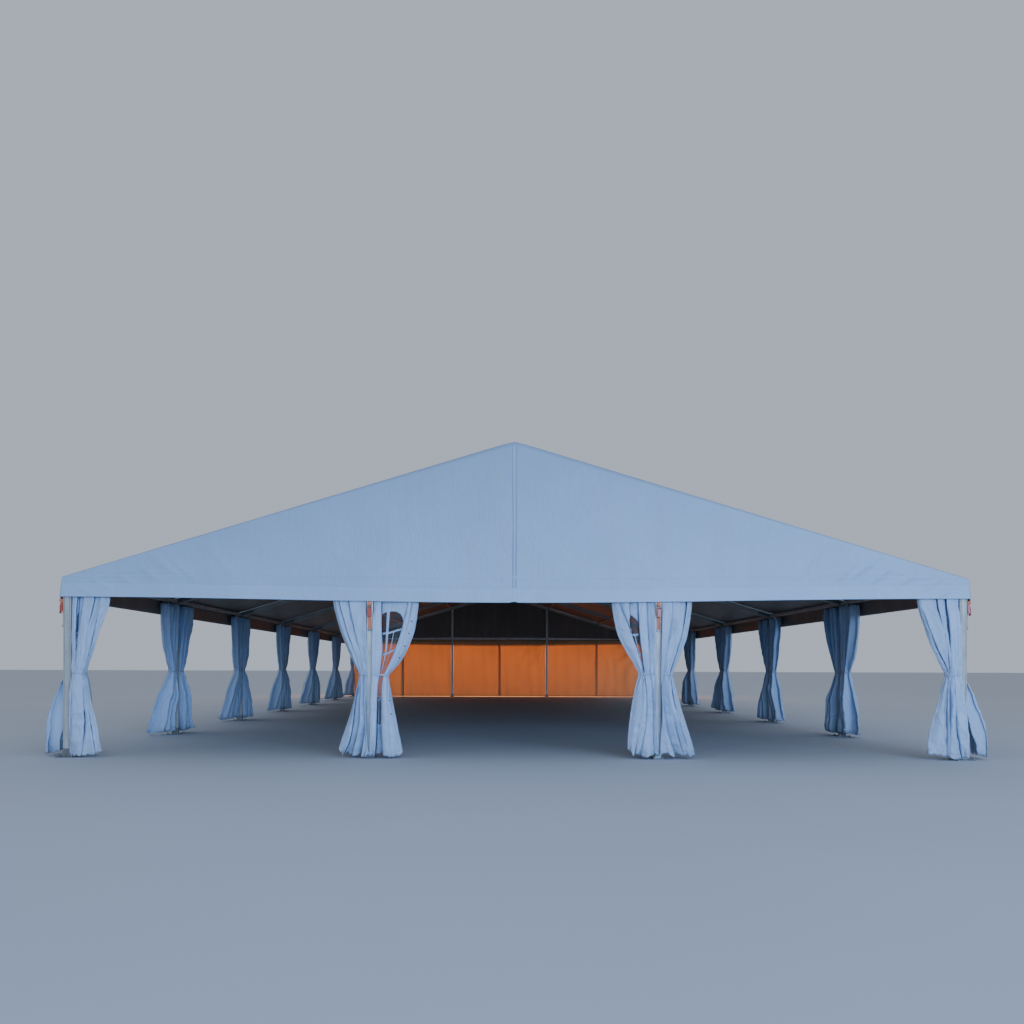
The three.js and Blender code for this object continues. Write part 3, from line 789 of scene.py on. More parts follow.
def eyelet_tree():
    """A rolled ring round a dark disc; the disc is painted shade where the eyelet's hole would be."""
    tree, entry = new_fitting_tree("eyelet", {"Ring radius": 0.010, "Wire radius": 0.003})
    ring = wire_ring(tree, entry["Ring radius"], entry["Wire radius"])
    # The dark disc fills the ring as painted shade for the hole through the cloth
    back = add_node(tree, "GeometryNodeMeshCylinder", {
        "Vertices": 10, "Radius": entry["Ring radius"], "Depth": 0.003})
    return stand_on_points(tree, entry, [ring, back.outputs[0]])


def curtain_hook_tree():
    """A nylon runner with a wire ring under it, hanging from the rail."""
    tree, entry = new_fitting_tree("curtain_hook", {"Runner size": 0.016, "Ring radius": 0.011, "Drop": 0.03})
    size = add_node(tree, "ShaderNodeCombineXYZ", {axis: entry["Runner size"] for axis in range(3)})
    runner = add_node(tree, "GeometryNodeMeshCube", {"Size": size.outputs[0]}).outputs[0]
    ring = wire_ring(tree, entry["Ring radius"], 0.0025)
    hung = lifted(tree, ring, entry["Drop"], -0.7, turn=(math.pi / 2, 0, 0))
    return stand_on_points(tree, entry, [runner, hung])


def place_fittings(name, spots, tree, sizes, finish):
    """One mesh of a fitting repeated at spots, each a place and the way that it faces."""
    mesh = bpy.data.meshes.new(name)
    mesh.from_pydata([tuple(place) for place, _ in spots], [], [])
    facing = mesh.attributes.new("facing", "FLOAT_VECTOR", "POINT")
    facing.data.foreach_set("vector", [value for _, way in spots for value in way])
    piece = link_new(name, mesh)
    modifier = piece.modifiers.new("fittings", "NODES")
    modifier.node_group = tree
    values = {**sizes, "Material": finish_named(finish)}
    for item in tree.interface.items_tree:
        if item.in_out == "INPUT" and item.name in values:
            modifier[item.identifier] = values[item.name]
    bpy.context.view_layer.update()
    made = bpy.data.meshes.new_from_object(piece.evaluated_get(bpy.context.evaluated_depsgraph_get()))
    piece.modifiers.remove(modifier)
    piece.data = made
    made.name = name
    return settle(piece, finish)


# Where bolts sit, in metres: along the plates from the ridge and from a rafter's end, above and below its
# middle line, up the corner posts, up the gable posts, and low on either where the shoe lifts their heads
RIDGE_BOLTS = (0.06, 0.14, 0.26)
END_BOLTS = (0.4, 0.3, 0.18, 0.08)
BOLT_RISE = 0.02
CORNER_BOLTS = (2.74, 2.62)
GABLE_BOLTS = (2.95, 2.99)
SHOE_BOLTS = (0.11, 0.05)


def bolt_spots():
    """Bolts on both faces of every rafter joint and upright head, and on the gable frames."""
    spots = []

    def up_post(x, y, face, head_bolts):
        for z in (*(head_bolts if face in open_faces(y) else ()), *SHOE_BOLTS):
            lift = PROFILE_WIDTH / 2 + (SHOE_WALL if z in SHOE_BOLTS else 0)
            spots.append(((x, y + face * lift, z), (0, face, 0)))

    for y in FRAME_Y:
        for face in (-1, 1):
            plate_y = y + face * (PROFILE_WIDTH / 2 + 0.0055)
            for side in (-1, 1):
                if face in open_faces(y):
                    for x in (*RIDGE_BOLTS, *(FRAME_REACH - back for back in END_BOLTS)):
                        for rise in (-BOLT_RISE, BOLT_RISE):
                            z = rafter_top(x) - RAFTER_DROP / 2 + rise
                            spots.append(((side * x, plate_y, z), (0, face, 0)))
                up_post(side * UPRIGHT_X, y, face, CORNER_BOLTS)
    for y in (FRONT_Y, REAR_Y):
        for face in (-1, 1):
            for side in (-1, 1):
                up_post(side * GABLE_UPRIGHT_X, y, face, GABLE_BOLTS)
    return spots


# Covers

RIDGE_ROUNDING = 0.05
EAVE_ROUNDING = 0.02
SKIN_DROP = 0.002
EAVE_TOP = cover_top(COVER_EDGE)


def cover_profile(steps_on_slope, steps_on_valance):
    """Half of a roof cover's outline, from the ridge to the foot of the valance: X, Z and length along it."""
    slope_x = np.linspace(0, COVER_EDGE - EAVE_ROUNDING, steps_on_slope)
    slope_z = COVER_TOP - ROOF_SLOPE * (np.hypot(slope_x, RIDGE_ROUNDING) - RIDGE_ROUNDING / 4)
    turn = np.linspace(0.25, 1, 3) * (math.pi / 2 - math.atan(ROOF_SLOPE))
    edge_x = COVER_EDGE - EAVE_ROUNDING * (1 - np.sin(turn))
    edge_z = EAVE_TOP - EAVE_ROUNDING * (1 - np.cos(turn)) - SKIN_DROP
    drop = np.linspace(0.04, 1, steps_on_valance)
    x = np.concatenate([slope_x, edge_x, COVER_EDGE + (VALANCE_REACH - COVER_EDGE) * drop])
    z = np.concatenate([slope_z, edge_z, edge_z[-1] + (VALANCE_BOTTOM - edge_z[-1]) * drop])
    length = np.concatenate([[0], np.cumsum(np.hypot(np.diff(x), np.diff(z)))])
    return x, z - SKIN_DROP, length


def make_roof_covers(looks):
    """One sheet in each bay from valance to valance, tight over the ridge and sagging between rafters."""
    x, z, length = cover_profile(44, 9)
    x, z = np.concatenate([-x[:0:-1], x]), np.concatenate([z[:0:-1], z])
    length = np.concatenate([-length[:0:-1], length])
    on_slope = ease((COVER_EDGE - 0.05 - np.abs(x)) / 0.5)
    off_ridge = ease(np.abs(x) / 0.6)
    hanging = np.clip((EAVE_TOP - z) / (EAVE_TOP - VALANCE_BOTTOM), 0, 1)
    bellies = 1 + 0.35 * np.cos(2 * math.pi * np.abs(x) / PURLIN_LINES["upper"])
    share = np.concatenate([[0, 0.004, 0.012, 0.03], np.linspace(0.06, 0.94, 27), [0.97, 0.988, 0.996, 1]])
    inside = np.sin(math.pi * share)[:, None]
    for bay in range(1, FRAMES):
        low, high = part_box(f"roof_cover_bay_{bay}")
        width = high.y - low.y
        grid_x, grid_y = np.meshgrid(x, low.y + width * share)
        along = np.repeat(length[None, :], len(share), 0)
        slack = looks.sag * inside ** 0.8 * on_slope * (0.35 + 0.65 * off_ridge)
        uneven = ripples(along / 1.6, grid_y / 1.9, 40 + bay) * 0.004 * inside
        # Short creases pull across the cloth beside its edges, and each edge has a keder bead
        to_edge = np.minimum(share, 1 - share)[:, None] * width
        pull = 0.0045 * np.exp(-(to_edge / 0.3) ** 1.3) * ease(to_edge / 0.03) * np.sin(
            2 * math.pi * along / 0.46 + 2 * ripples(along / 2.5, 0 * grid_y, 70 + bay))
        bead = 0.004 * bell(to_edge - 0.012, 0.008)
        grid_z = z + bead - slack * bellies * 0.8 - (uneven + np.abs(pull)) * on_slope
        wave = np.sin(2 * math.pi * grid_y / 0.55 + 1.4 * ripples(grid_y / 1.2, grid_z, 90 + bay))
        grid_x = grid_x - np.sign(x) * 0.0072 * hanging ** 1.4 * inside ** 0.5 * (wave + 1)
        points = np.stack([grid_x, grid_y, grid_z], axis=-1)
        flat = np.stack([grid_y - low.y, length.max() - np.abs(along)], axis=-1)
        name = f"roof_cover_{bay}_cloth"
        cloth = sheet_piece(name, points, flat, "lacquered_roof_cloth", looks.thickness, (0, 0, 1),
                            replaced=[f"roof_cover_bay_{bay}"], inside="inner_face_painted_shade")


# Folds that tension puts in a gable: from and to in X and Z, height and width
GABLE_CREASES = (
    (5.35, 2.98, 5.78, 3.36, 0.007, 0.045), (5.62, 3.04, 6.12, 3.42, 0.009, 0.045),
    (5.98, 2.97, 6.34, 3.26, 0.008, 0.042), (6.32, 2.86, 6.66, 3.08, 0.008, 0.040),
    (6.76, 2.82, 7.12, 3.00, 0.007, 0.038), (7.05, 2.72, 7.40, 2.92, 0.007, 0.036),
    (4.70, 3.02, 5.20, 3.62, 0.005, 0.060), (7.40, 2.94, 5.60, 3.30, 0.004, 0.050),
    (2.42, 3.02, 1.70, 3.70, 0.003, 0.060), (2.42, 3.02, 3.20, 3.60, 0.003, 0.060),
    (0.12, 2.66, 0.55, 3.05, 0.003, 0.060),
)
CREASE_SCALE = 1.9
GABLE_COLUMNS = 341


def crease_height(x, z):
    """How far the creases lift a gable at each place, with the left side's a little weaker."""
    total = np.zeros_like(x)
    for x0, z0, x1, z1, height, width in GABLE_CREASES:
        for side, strength in ((1, 1.0), (-1, 0.7)):
            run_x, run_z = side * (x1 - x0), z1 - z0
            from_x, from_z = x - side * x0, z - z0
            held = np.clip((from_x * run_x + from_z * run_z) / (run_x ** 2 + run_z ** 2), 0, 1)
            away = np.hypot(from_x - held * run_x, from_z - held * run_z)
            taper = np.sin(math.pi * np.clip(0.15 + 0.85 * held, 0, 1)) ** 0.7
            total = total + strength * CREASE_SCALE * height * taper * bell(away, width)
    return total


def billow(z, top):
    """How far the air pushes a gable out above its beam."""
    above_beam = np.clip((z - GABLE_BEAM_BOTTOM - GABLE_BEAM_HEIGHT) / 1.2, 0, 1)
    return 0.010 * above_beam * np.clip((top - z) / 0.5, 0, 1)


def make_gable_covers(looks):
    """Each gable is one flat sheet over the frame, with a seam down its middle and a band hanging free."""
    share = np.linspace(-1, 1, GABLE_COLUMNS)
    x = np.sign(share) * np.abs(share) ** 0.88 * VALANCE_REACH
    bow = looks.hem_bow * (1 + np.cos(math.pi * np.clip(x / COVER_EDGE, -1, 1))) / 2
    bottom = VALANCE_BOTTOM + 0.037 - bow + 0.02 * bell(x + 0.01, 0.02)
    top = cover_top(np.clip(x, -COVER_EDGE, COVER_EDGE)) - 0.004
    top = top - ease((np.abs(x) - COVER_EDGE) / 0.03) * 0.02 - 0.012 * bell(x, 0.09)
    band_top = bottom + looks.hem_height
    low_rows = bottom + (band_top - bottom) * np.linspace(0, 1, 12)[:, None]
    step_row = (band_top + 0.006)[None, :]
    high_rows = step_row + (top - step_row) * (np.linspace(0.0, 1, 40)[1:] ** 1.15)[:, None]
    grid_z = np.concatenate([low_rows, step_row, high_rows])
    # Outside the eaves only the free band is left, and it narrows with the valance beside it
    flare = (VALANCE_REACH - COVER_EDGE) * np.clip((EAVE_TOP - grid_z) / 0.37, 0, 1)
    grid_x = np.clip(np.repeat(x[None, :], len(grid_z), 0), -COVER_EDGE - flare, COVER_EDGE + flare)
    band = np.clip((band_top - grid_z) / looks.hem_height, 0, 1)
    # The beam behind the sheet prints through as a faint ridge
    rail = 0.004 * bell(grid_z - 3.03, 0.018)
    for word, facing, seed in (("front", -1, 11), ("rear", 1, 12)):
        wave = ripples(grid_x / 0.9, grid_z / 2.2, seed)
        proud = 0.006 + billow(grid_z, top) + rail + crease_height(grid_x, grid_z)
        proud = proud + (band > 0) * 0.003 + band ** 1.2 * (0.02 + 0.006 * wave)
        proud = proud + 0.0025 * ripples(grid_x / 1.3, grid_z / 0.7, 21) * (1 - band)
        points = np.stack([grid_x, facing * (GABLE_SHEET_Y + proud), grid_z], axis=-1)
        flat = np.stack([grid_x, grid_z - bottom], axis=-1)
        node = f"gable_cover_{word}"
        cloth = sheet_piece(f"{node}_cloth", points, flat, "lacquered_gable_cloth", looks.thickness,
                            (0, facing, 0), replaced=[node], inside="inner_face_painted_shade")
        seam = seam_flap(f"{node}_seam", facing, bottom[GABLE_COLUMNS // 2], looks)


def seam_flap(name, facing, bottom, looks):
    """The double strip down the middle of a gable, where its two halves are laced under a flap."""
    outline = [(-0.032, 0.0), (0.032, 0.0), (0.036, 0.003), (0.010, 0.0045), (-0.006, 0.0035),
               (-0.030, 0.0055)]
    rings = []
    for z in np.linspace(bottom + 0.012, COVER_TOP - 0.06, 40):
        sway = 0.004 * math.sin(2.1 * z)
        low = np.clip((bottom + looks.hem_height - z) / looks.hem_height, 0, 1)
        base = GABLE_SHEET_Y + 0.008 + 0.020 * low ** 1.2 + billow(z, COVER_TOP)
        rings.append([(x + sway, facing * (base + y), z) for x, y in outline[::facing]])
    shape = Shape()
    shape.rings(rings)
    return shape.finish(name, ["lacquered_roof_cloth"], smooth=True)


# Curtains

# Heights at which widths and fold lines are given; the fifth stands for the tie's own height
LINE_HEIGHTS = (2.60, 2.10, 1.77, 1.60, TIE_HEIGHT, 1.27, 0.93, 0.60, 0.27, 0.02)
# The halves of the front gable: inner and outer edge in millimetres from the middle of their post, then their
# fold lines. Each line has the side whose edge laps over the other, 1 for the post's side, its places, and
# how far it stands open, in hundredths.
FRONT_FOLDS = {
    "mid_left_outer": (
        (62, 45, 38, 35, 30, 31, 32, 33, 14, -28), (631, 496, 356, 279, 164, 197, 274, 364, 488, 547),
        (1, (351, 238, 147, 122, 97, 80, 71, 52, 72, 121), (100, 79, 30, 39, 50, 70, 60, 50, 100, 100)),
        (1, (514, 363, 239, 188, 139, 139, 139, 150, 213, 288), (100, 89, 20, 50, 50, 50, 80, 85, 90, 100)),
        (-1, (573, 438, 306, 229, 152, 173, 239, 264, 321, 454), (0, 0, 0, 13, 30, 50, 90, 100, 100, 100)),
    ),
    "mid_left_door": (
        (62, 50, 50, 50, 50, 47, 37, 31, 25, 0), (821, 753, 613, 527, 304, 329, 397, 463, 528, 584),
        (1, (187, 201, 220, 193, 170, 142, 137, 133, 129, 96), (100,) * 10),
        (-1, (646, 523, 413, 336, 245, 211, 207, 209, 220, 253),
         (50, 100, 100, 100, 100, 100, 100, 100, 100, 100)),
        (1, (705, 612, 513, 427, 279, 295, 313, 337, 354, 379), (60, 30, 23, 20, 50, 70, 12, 16, 20, 30)),
    ),
    "mid_right_door": (
        (60, 54, 56, 58, 59, 59, 53, 40, 19, -2), (783, 698, 525, 413, 319, 372, 445, 487, 516, 499),
        (-1, (198, 183, 162, 153, 142, 112, 93, 89, 79, 65), (100, 82, 39, 34, 29, 18, 32, 30, 18, 60)),
        (1, (340, 318, 281, 257, 231, 220, 196, 209, 271, 299), (53, 92, 96, 98, 99, 82, 96, 100, 100, 100)),
        (-1, (493, 450, 335, 286, 244, 226, 203, 216, 278, 306), (90, 88, 75, 63, 38, 15, 17, 18, 19, 20)),
        (-1, (666, 455, 340, 291, 252, 273, 302, 323, 374, 416),
         (100, 100, 100, 100, 97, 53, 15, 18, 30, 80)),
    ),
    "mid_right_outer": (
        (61, 42, 35, 33, 32, 32, 34, 33, 16, 2), (579, 508, 397, 320, 224, 273, 360, 462, 567, 641),
        (1, (249, 183, 128, 101, 70, 57, 57, 94, 190, 269), (27, 83, 37, 35, 43, 63, 81, 88, 95, 100)),
        (1, (367, 308, 240, 194, 144, 151, 201, 246, 336, 419), (54, 6, 1, 12, 54, 61, 26, 52, 100, 100)),
        (-1, (490, 410, 304, 250, 194, 219, 262, 353, 468, 544), (97, 37, 65, 61, 53, 69, 52, 11, 15, 70)),
    ),
    "left_corner_gable": (
        (73, 73, 73, 73, 73, 73, 73, 73, 73, 73), (701, 527, 439, 371, 301, 352, 413, 503, 568, 607),
        (1, (162, 150, 154, 161, 170, 127, 110, 107, 104, 108), (100, 100, 10, 12, 47, 99, 92, 16, 18, 20)),
        (-1, (272, 205, 158, 165, 174, 131, 114, 111, 108, 112), (71, 88, 15, 10, 10, 10, 10, 10, 10, 10)),
        (1, (448, 343, 323, 299, 270, 293, 318, 329, 317, 293), (60, 12, 4, 3, 20, 25, 30, 55, 35, 30)),
        (1, (566, 443, 395, 341, 287, 325, 364, 414, 485, 524), (30, 50, 50, 30, 30, 35, 38, 58, 45, 30)),
    ),
    "right_corner_gable": (
        (72, 68, 68, 67, 67, 69, 46, 12, -18, -38), (750, 598, 481, 394, 284, 345, 437, 534, 596, 618),
        (1, (273, 233, 218, 214, 199, 179, 179, 180, 125, 66), (80, 80, 42, 32, 30, 30, 20, 30, 35, 35)),
        (1, (419, 313, 261, 246, 235, 247, 253, 260, 280, 292), (80, 25, 32, 50, 50, 45, 60, 50, 20, 20)),
        (1, (712, 537, 408, 304, 254, 286, 337, 335, 334, 334), (30, 42, 50, 50, 40, 30, 35, 40, 35, 30)),
    ),
}
# Which post each half hangs at, how it runs from there, its tie, how high its hem is lifted at HEM_PLACES,
# and its window: the panel that shows it, how much of it lies hidden on the post's side, and its sill
HEM_PLACES = (0, 0.2, 0.4, 0.6, 0.85, 1)
FRONT_HALVES = (
    ("mid_left_outer", -GABLE_UPRIGHT_X, -1, 1.39, (0.01, 0.015, 0.01, 0.01, 0.02, 0.11), None),
    ("mid_left_door", -GABLE_UPRIGHT_X, 1, 1.39, (0.02, 0.03, 0.03, 0.005, 0.01, 0.06), (1, 0.27, 0.50)),
    ("mid_right_door", GABLE_UPRIGHT_X, -1, 1.43, (0.03, 0.05, 0.02, 0.03, 0.02, 0.11), (2, 0.06, 1.60)),
    ("mid_right_outer", GABLE_UPRIGHT_X, 1, 1.43, (0.05, 0.09, 0.02, 0.03, 0.0, 0.0), None),
    ("left_corner_gable", -UPRIGHT_X, 1, 1.41, (0.01, 0.0, 0.005, 0.02, 0.03, 0.05), (1, 0.42, 1.60)),
    ("right_corner_gable", UPRIGHT_X, -1, 1.42, (0.0, 0.0, 0.01, 0.05, 0.07, 0.06), None),
)
# Every other half follows one of these, fitted to its own width
SHARED_FOLDS = ("mid_left_outer", "mid_right_outer", "left_corner_gable", "right_corner_gable")
# At LINE_HEIGHTS, how wide those other halves are in metres, and how deep every half is
SIDE_WIDTHS = (0.80, 0.68, 0.53, 0.43, 0.24, 0.29, 0.38, 0.47, 0.56, 0.62)
HALF_DEPTHS = (0.19, 0.18, 0.17, 0.16, 0.14, 0.18, 0.24, 0.30, 0.36, 0.40)
# How far the foot of a side half swings outwards: before its post, behind it, and at a front corner
FOOT_SWING = {"left": 0.32, "right": 0.11}
FAR_FOOT_SWING = -0.14
CORNER_FOOT_SWING = {"left": 0.40, "right": 0.56}
# What a half has unless it says otherwise: how far its foot swings out and the share of that at its post, its
# window, its net, how much it laps over the post, how far it may stand out behind the cover, and eyelets
USUAL_HALF = {
    "hem_shift": 0.0, "swing": 0.25, "window": None, "columns": 64, "rows": 44, "lap": 0.0, "room": 0.055,
    "eyelets": False,
}


def folds_of(word):
    """The edges and fold lines of a front half, in metres and in shares."""
    inner, outer, *lines = FRONT_FOLDS[word]
    lines = [(turn, np.array(places) / 1000, np.array(openness) / 100) for turn, places, openness in lines]
    return {"inner": np.array(inner) / 1000, "outer": np.array(outer) / 1000, "lines": lines}


def side_folds(start, width, draw):
    """Edges and fold lines of a half at the sides, from one of the shared sets."""
    source = folds_of(draw.choice(SHARED_FOLDS))
    outer = start + np.array(SIDE_WIDTHS) * width
    lines = []
    for turn, places, openness in source["lines"]:
        share = (places - source["inner"]) / (source["outer"] - source["inner"]) + draw.uniform(-0.05, 0.05)
        lines.append((turn, start + (outer - start) * np.clip(share, 0.04, 0.97), openness))
    return {"inner": np.full(len(LINE_HEIGHTS), start), "outer": outer, "lines": lines}


def front_halves():
    """The halves in the front gable, each with fold lines of its own."""
    front = {"across": (0, -1), "top_shift": -0.067, "columns": 120, "rows": 76, "room": 0.026,
             "top_z": GABLE_BEAM_BOTTOM}
    for number, (word, post_x, turn, tie, hem, window) in enumerate(FRONT_HALVES):
        corner = word.endswith("gable")
        place = word.replace("_gable", "") if corner else word.rsplit("_", 1)[0]
        reach = (PROFILE_DEPTH if corner else GABLE_UPRIGHT_WIDTH) / 2
        yield {**USUAL_HALF, **front, **folds_of(word), "name": f"curtain_front_{word}",
               "node": f"curtains_front_{place}", "origin": (post_x, FRONT_Y), "along": (turn, 0), "tie": tie,
               "hem": hem, "start": reach + POST_CLEARANCE, "window": window, "seed": number + 3,
               "lap": 0.0 if word == "left_corner_gable" else 1.0, "eyelets": word == "mid_left_door"}


def side_halves():
    """The halves along both sides, before and behind every upright."""
    along_y = PROFILE_WIDTH / 2 + POST_CLEARANCE
    seed = len(FRONT_HALVES) + 2
    for word, side in SIDES:
        for frame_number, y in enumerate(FRAME_Y, 1):
            corners = {1: f"curtains_front_{word}_corner", FRAMES: f"curtain_rear_{word}_corner"}
            node = corners.get(frame_number, f"curtains_{word}_{frame_number}")
            for part, turn, end in (("near", -1, 1), ("far", 1, FRAMES)):
                if frame_number == end:
                    continue
                seed += 1
                draw = random.Random(seed * 7)
                swing = (FOOT_SWING[word] if part == "near" else FAR_FOOT_SWING) + draw.uniform(-0.05, 0.05)
                finer = {}
                if frame_number == 1:
                    swing = CORNER_FOOT_SWING[word]
                    finer = {"columns": 88, "rows": 60, "swing": 0.75}
                hem = (0.02, *(draw.uniform(0, 0.04) for _ in range(4)), draw.uniform(0.04, 0.13))
                tie = TIE_HEIGHT - draw.uniform(0.01, 0.05)
                yield {**USUAL_HALF, **finer, **side_folds(along_y, draw.uniform(0.94, 1.02), draw),
                       "name": f"{node}_side" if frame_number in corners else
                       f"curtain_{word}_{frame_number}_{part}",
                       "node": node, "origin": (side * UPRIGHT_X, y), "along": (0, turn), "across": (side, 0),
                       "start": along_y, "top_z": EAVE_BAR_BOTTOM, "top_shift": EAVE_BAR_X - UPRIGHT_X - 0.03,
                       "hem_shift": swing, "hem": hem, "tie": tie, "seed": seed}


# A window in the flat cloth: its share of the width, the middles of its crossbars and half their height, the
# rise of its arch, and its uprights in shares of its width. The arch takes ARCH_ROWS of the even net.
WINDOW_SHARE = 0.26
WINDOW_BARS = (0.92, 1.32, 1.72, 2.08)
HALF_BAR = 0.018
WINDOW_RISE = 0.33
WINDOW_UPRIGHTS = ((0.20, 0.23), (0.42, 0.51), (0.70, 0.73))
WINDOW_MIDDLE = 1
ARCH_ROWS = 0.3


def flat_grid(half, looks):
    """Places in the flat cloth: share of the width, height, and which cells are cloth or window."""
    if not half.window:
        s, t = np.linspace(0, 1, half.columns + 1), np.linspace(0, 1, half.rows + 1)
        grid_s, grid_t = np.meshgrid(s, t)
        return grid_s, grid_t * CLOTH_HEIGHT, None, None
    left, right = window_span(half, looks)
    sill = half.window[2]
    bars = [tuple(left + edge * (right - left) for edge in bar) for bar in WINDOW_UPRIGHTS]
    shown = [level for level in WINDOW_BARS if level > sill + 0.1]
    spring = shown[-1] + HALF_BAR
    arch_top = spring + ARCH_ROWS
    s = spaced([0, left, *(edge for bar in bars for edge in bar), right, 1], half.columns)
    t = spaced([0, sill, *(level + edge for level in shown for edge in (-HALF_BAR, HALF_BAR)), arch_top,
                CLOTH_HEIGHT], half.rows)
    grid_s, grid_t = np.meshgrid(s, t)
    middle, reach = (left + right) / 2, (right - left) / 2
    aside = np.abs(grid_s - middle)
    inside = np.clip(1 - ((grid_s - middle) / reach) ** 2, 0, 1)
    arch = 0.02 + WINDOW_RISE * np.sqrt(inside) + 0.55 * np.clip(aside - reach, 0, 0.25)
    raised = spring + (grid_t - spring) / ARCH_ROWS * arch
    left_over = (grid_t - arch_top) / (CLOTH_HEIGHT - arch_top)
    above = spring + arch + left_over * (CLOTH_HEIGHT - spring - arch)
    height = np.where(grid_t <= spring, grid_t, np.where(grid_t <= arch_top, raised, above))
    # The crossbars hang crooked, higher on the side away from the post
    place = np.clip((grid_s - middle) / reach, -1, 1)
    crooked = (0.045 * place + 0.030 * place ** 2) * np.exp(-np.maximum(aside - reach, 0) / 0.06)
    height = height + crooked * ease((grid_t - sill) / 0.35) * ease((2.75 - grid_t) / 0.45)
    cell_s, cell_t = (s[1:] + s[:-1]) / 2, (t[1:] + t[:-1]) / 2
    window = ((cell_t > sill) & (cell_t < arch_top))[:, None] & (cell_s > left) & (cell_s < right)
    barred = np.zeros_like(window)
    for n, (low, high) in enumerate(bars):
        # The middle upright runs all the way up, the finer ones only up to the arch
        reaches = (cell_t < spring) | (n == WINDOW_MIDDLE)
        barred |= reaches[:, None] & (cell_s > low) & (cell_s < high)
    for level in shown:
        barred |= (np.abs(cell_t - level) < HALF_BAR)[:, None]
    return grid_s, height, ~window | barred, window


def spaced(marks, count):
    """Values that pass through every mark, spread as evenly as they can be."""
    total = marks[-1] - marks[0]
    values = [marks[0]]
    for low, high in zip(marks, marks[1:]):
        steps = max(1, round((high - low) / total * count))
        values.extend(low + (high - low) * (k + 1) / steps for k in range(steps))
    return np.array(values)


def cloth_marks(half, looks):
    """Where panels end and begin in the flat cloth. Panels take what they show, and tucks the rest."""
    edges = np.array([half.inner, *(places for _, places, _ in half.lines), half.outer])
    panels = np.maximum(np.diff(edges, axis=0).max(axis=1) * 1.03, 0.02) / looks.flat_width
    tuck = (1 - panels.sum()) / len(half.lines)
    marks = [0]
    for panel in panels[:-1]:
        marks += [marks[-1] + panel, marks[-1] + panel + tuck]
    return [*marks, 1]


def window_span(half, looks):
    """The window's two sides in the flat cloth."""
    panel, hidden, _ = half.window
    begins = cloth_marks(half, looks)[2 * panel]
    return begins - hidden * WINDOW_SHARE, begins + (1 - hidden) * WINDOW_SHARE


# The course of one tuck, from the lip that laps over to the lip behind it: share of its cloth, how far it
# reaches under the panel that covers it, and how far forward it lies, from the back, -1, to the front, 1
TUCK_COURSE = (
    (0.05, -0.05, 0.62), (0.28, 0.80, -0.15), (0.40, 1.00, -0.95), (0.52, 0.72, -1.00), (0.66, 0.55, -0.10),
    (0.74, 0.38, -0.10), (0.90, 0.15, -0.95),
)


def smoothed(values, reach):
    """Rounds the corners of each row with a window of so many samples to each side."""
    kernel = np.hanning(2 * reach + 3)[1:-1]
    kernel /= kernel.sum()
    ahead = values[:, 1:reach + 1][:, ::-1]
    behind = values[:, -reach - 1:-1][:, ::-1]
    wide = np.concatenate([2 * values[:, :1] - ahead, values, 2 * values[:, -1:] - behind], axis=1)
    return np.array([np.convolve(row, kernel, "valid") for row in wide])


def lip_places(lines, draw):
    """How far forward every panel begins and ends, and where each line's second lip lies when it is shut."""
    begins, ends, lips = [np.full_like(lines[0][1], 0.55)], [], []
    for turn, _, openness in lines:
        lap, back = 0.85 * draw.uniform(0.8, 1.1), 0.12 * draw.uniform(-1.0, 1.0)
        hidden = lap - 0.05 + (back - lap + 0.05) * ease((openness - 0.2) / 0.7)
        lips.append(lap - 0.15)
        shown = np.full_like(openness, lap)
        ends.append(shown if turn > 0 else hidden)
        begins.append(hidden if turn > 0 else shown)
    ends.append(np.full_like(lines[0][1], 0.30))
    return begins, ends, lips


def fold_course(marks, edges, lines, draw):
    """The cloth's course over its panels and through its tucks.

    Each step has a share of the cloth's width and, at every level, how far it lies from the post and forward.
    """
    begins, ends, lips = lip_places(lines, draw)
    course = []
    for k, (begin, end) in enumerate(zip(begins, ends)):
        low, high = marks[2 * k], marks[2 * k + 1]
        middle = (begin + end) / 2 + draw.uniform(0.02, 0.16)
        for share, value in ((0, begin), (0.16, begin * 0.4 + middle * 0.6), (0.5, middle),
                             (0.86, end * 0.5 + middle * 0.5), (1, end)):
            course.append((low + (high - low) * share, edges[k] + (edges[k + 1] - edges[k]) * share, value))
        if k == len(lines):
            break
        turn, _, openness = lines[k]
        low, high = marks[2 * k + 1], marks[2 * k + 2]
        cover = edges[k + 1] - edges[k] if turn > 0 else edges[k + 2] - edges[k + 1]
        reach = np.minimum(0.13, 0.62 * cover)
        deep = ease((openness - 0.2) / 0.7)
        for share, under, forward in TUCK_COURSE[::turn]:
            # Where a line is shut its second lip lies flush behind the first, with the tuck hidden as before
            full = np.full_like(openness, forward)
            course.append((low + (high - low) * (share if turn > 0 else 1 - share),
                           edges[k + 1] - turn * reach * under * (0.55 + 0.45 * deep),
                           full if under > 0.2 else lips[k] + (full - lips[k]) * deep))
    return course


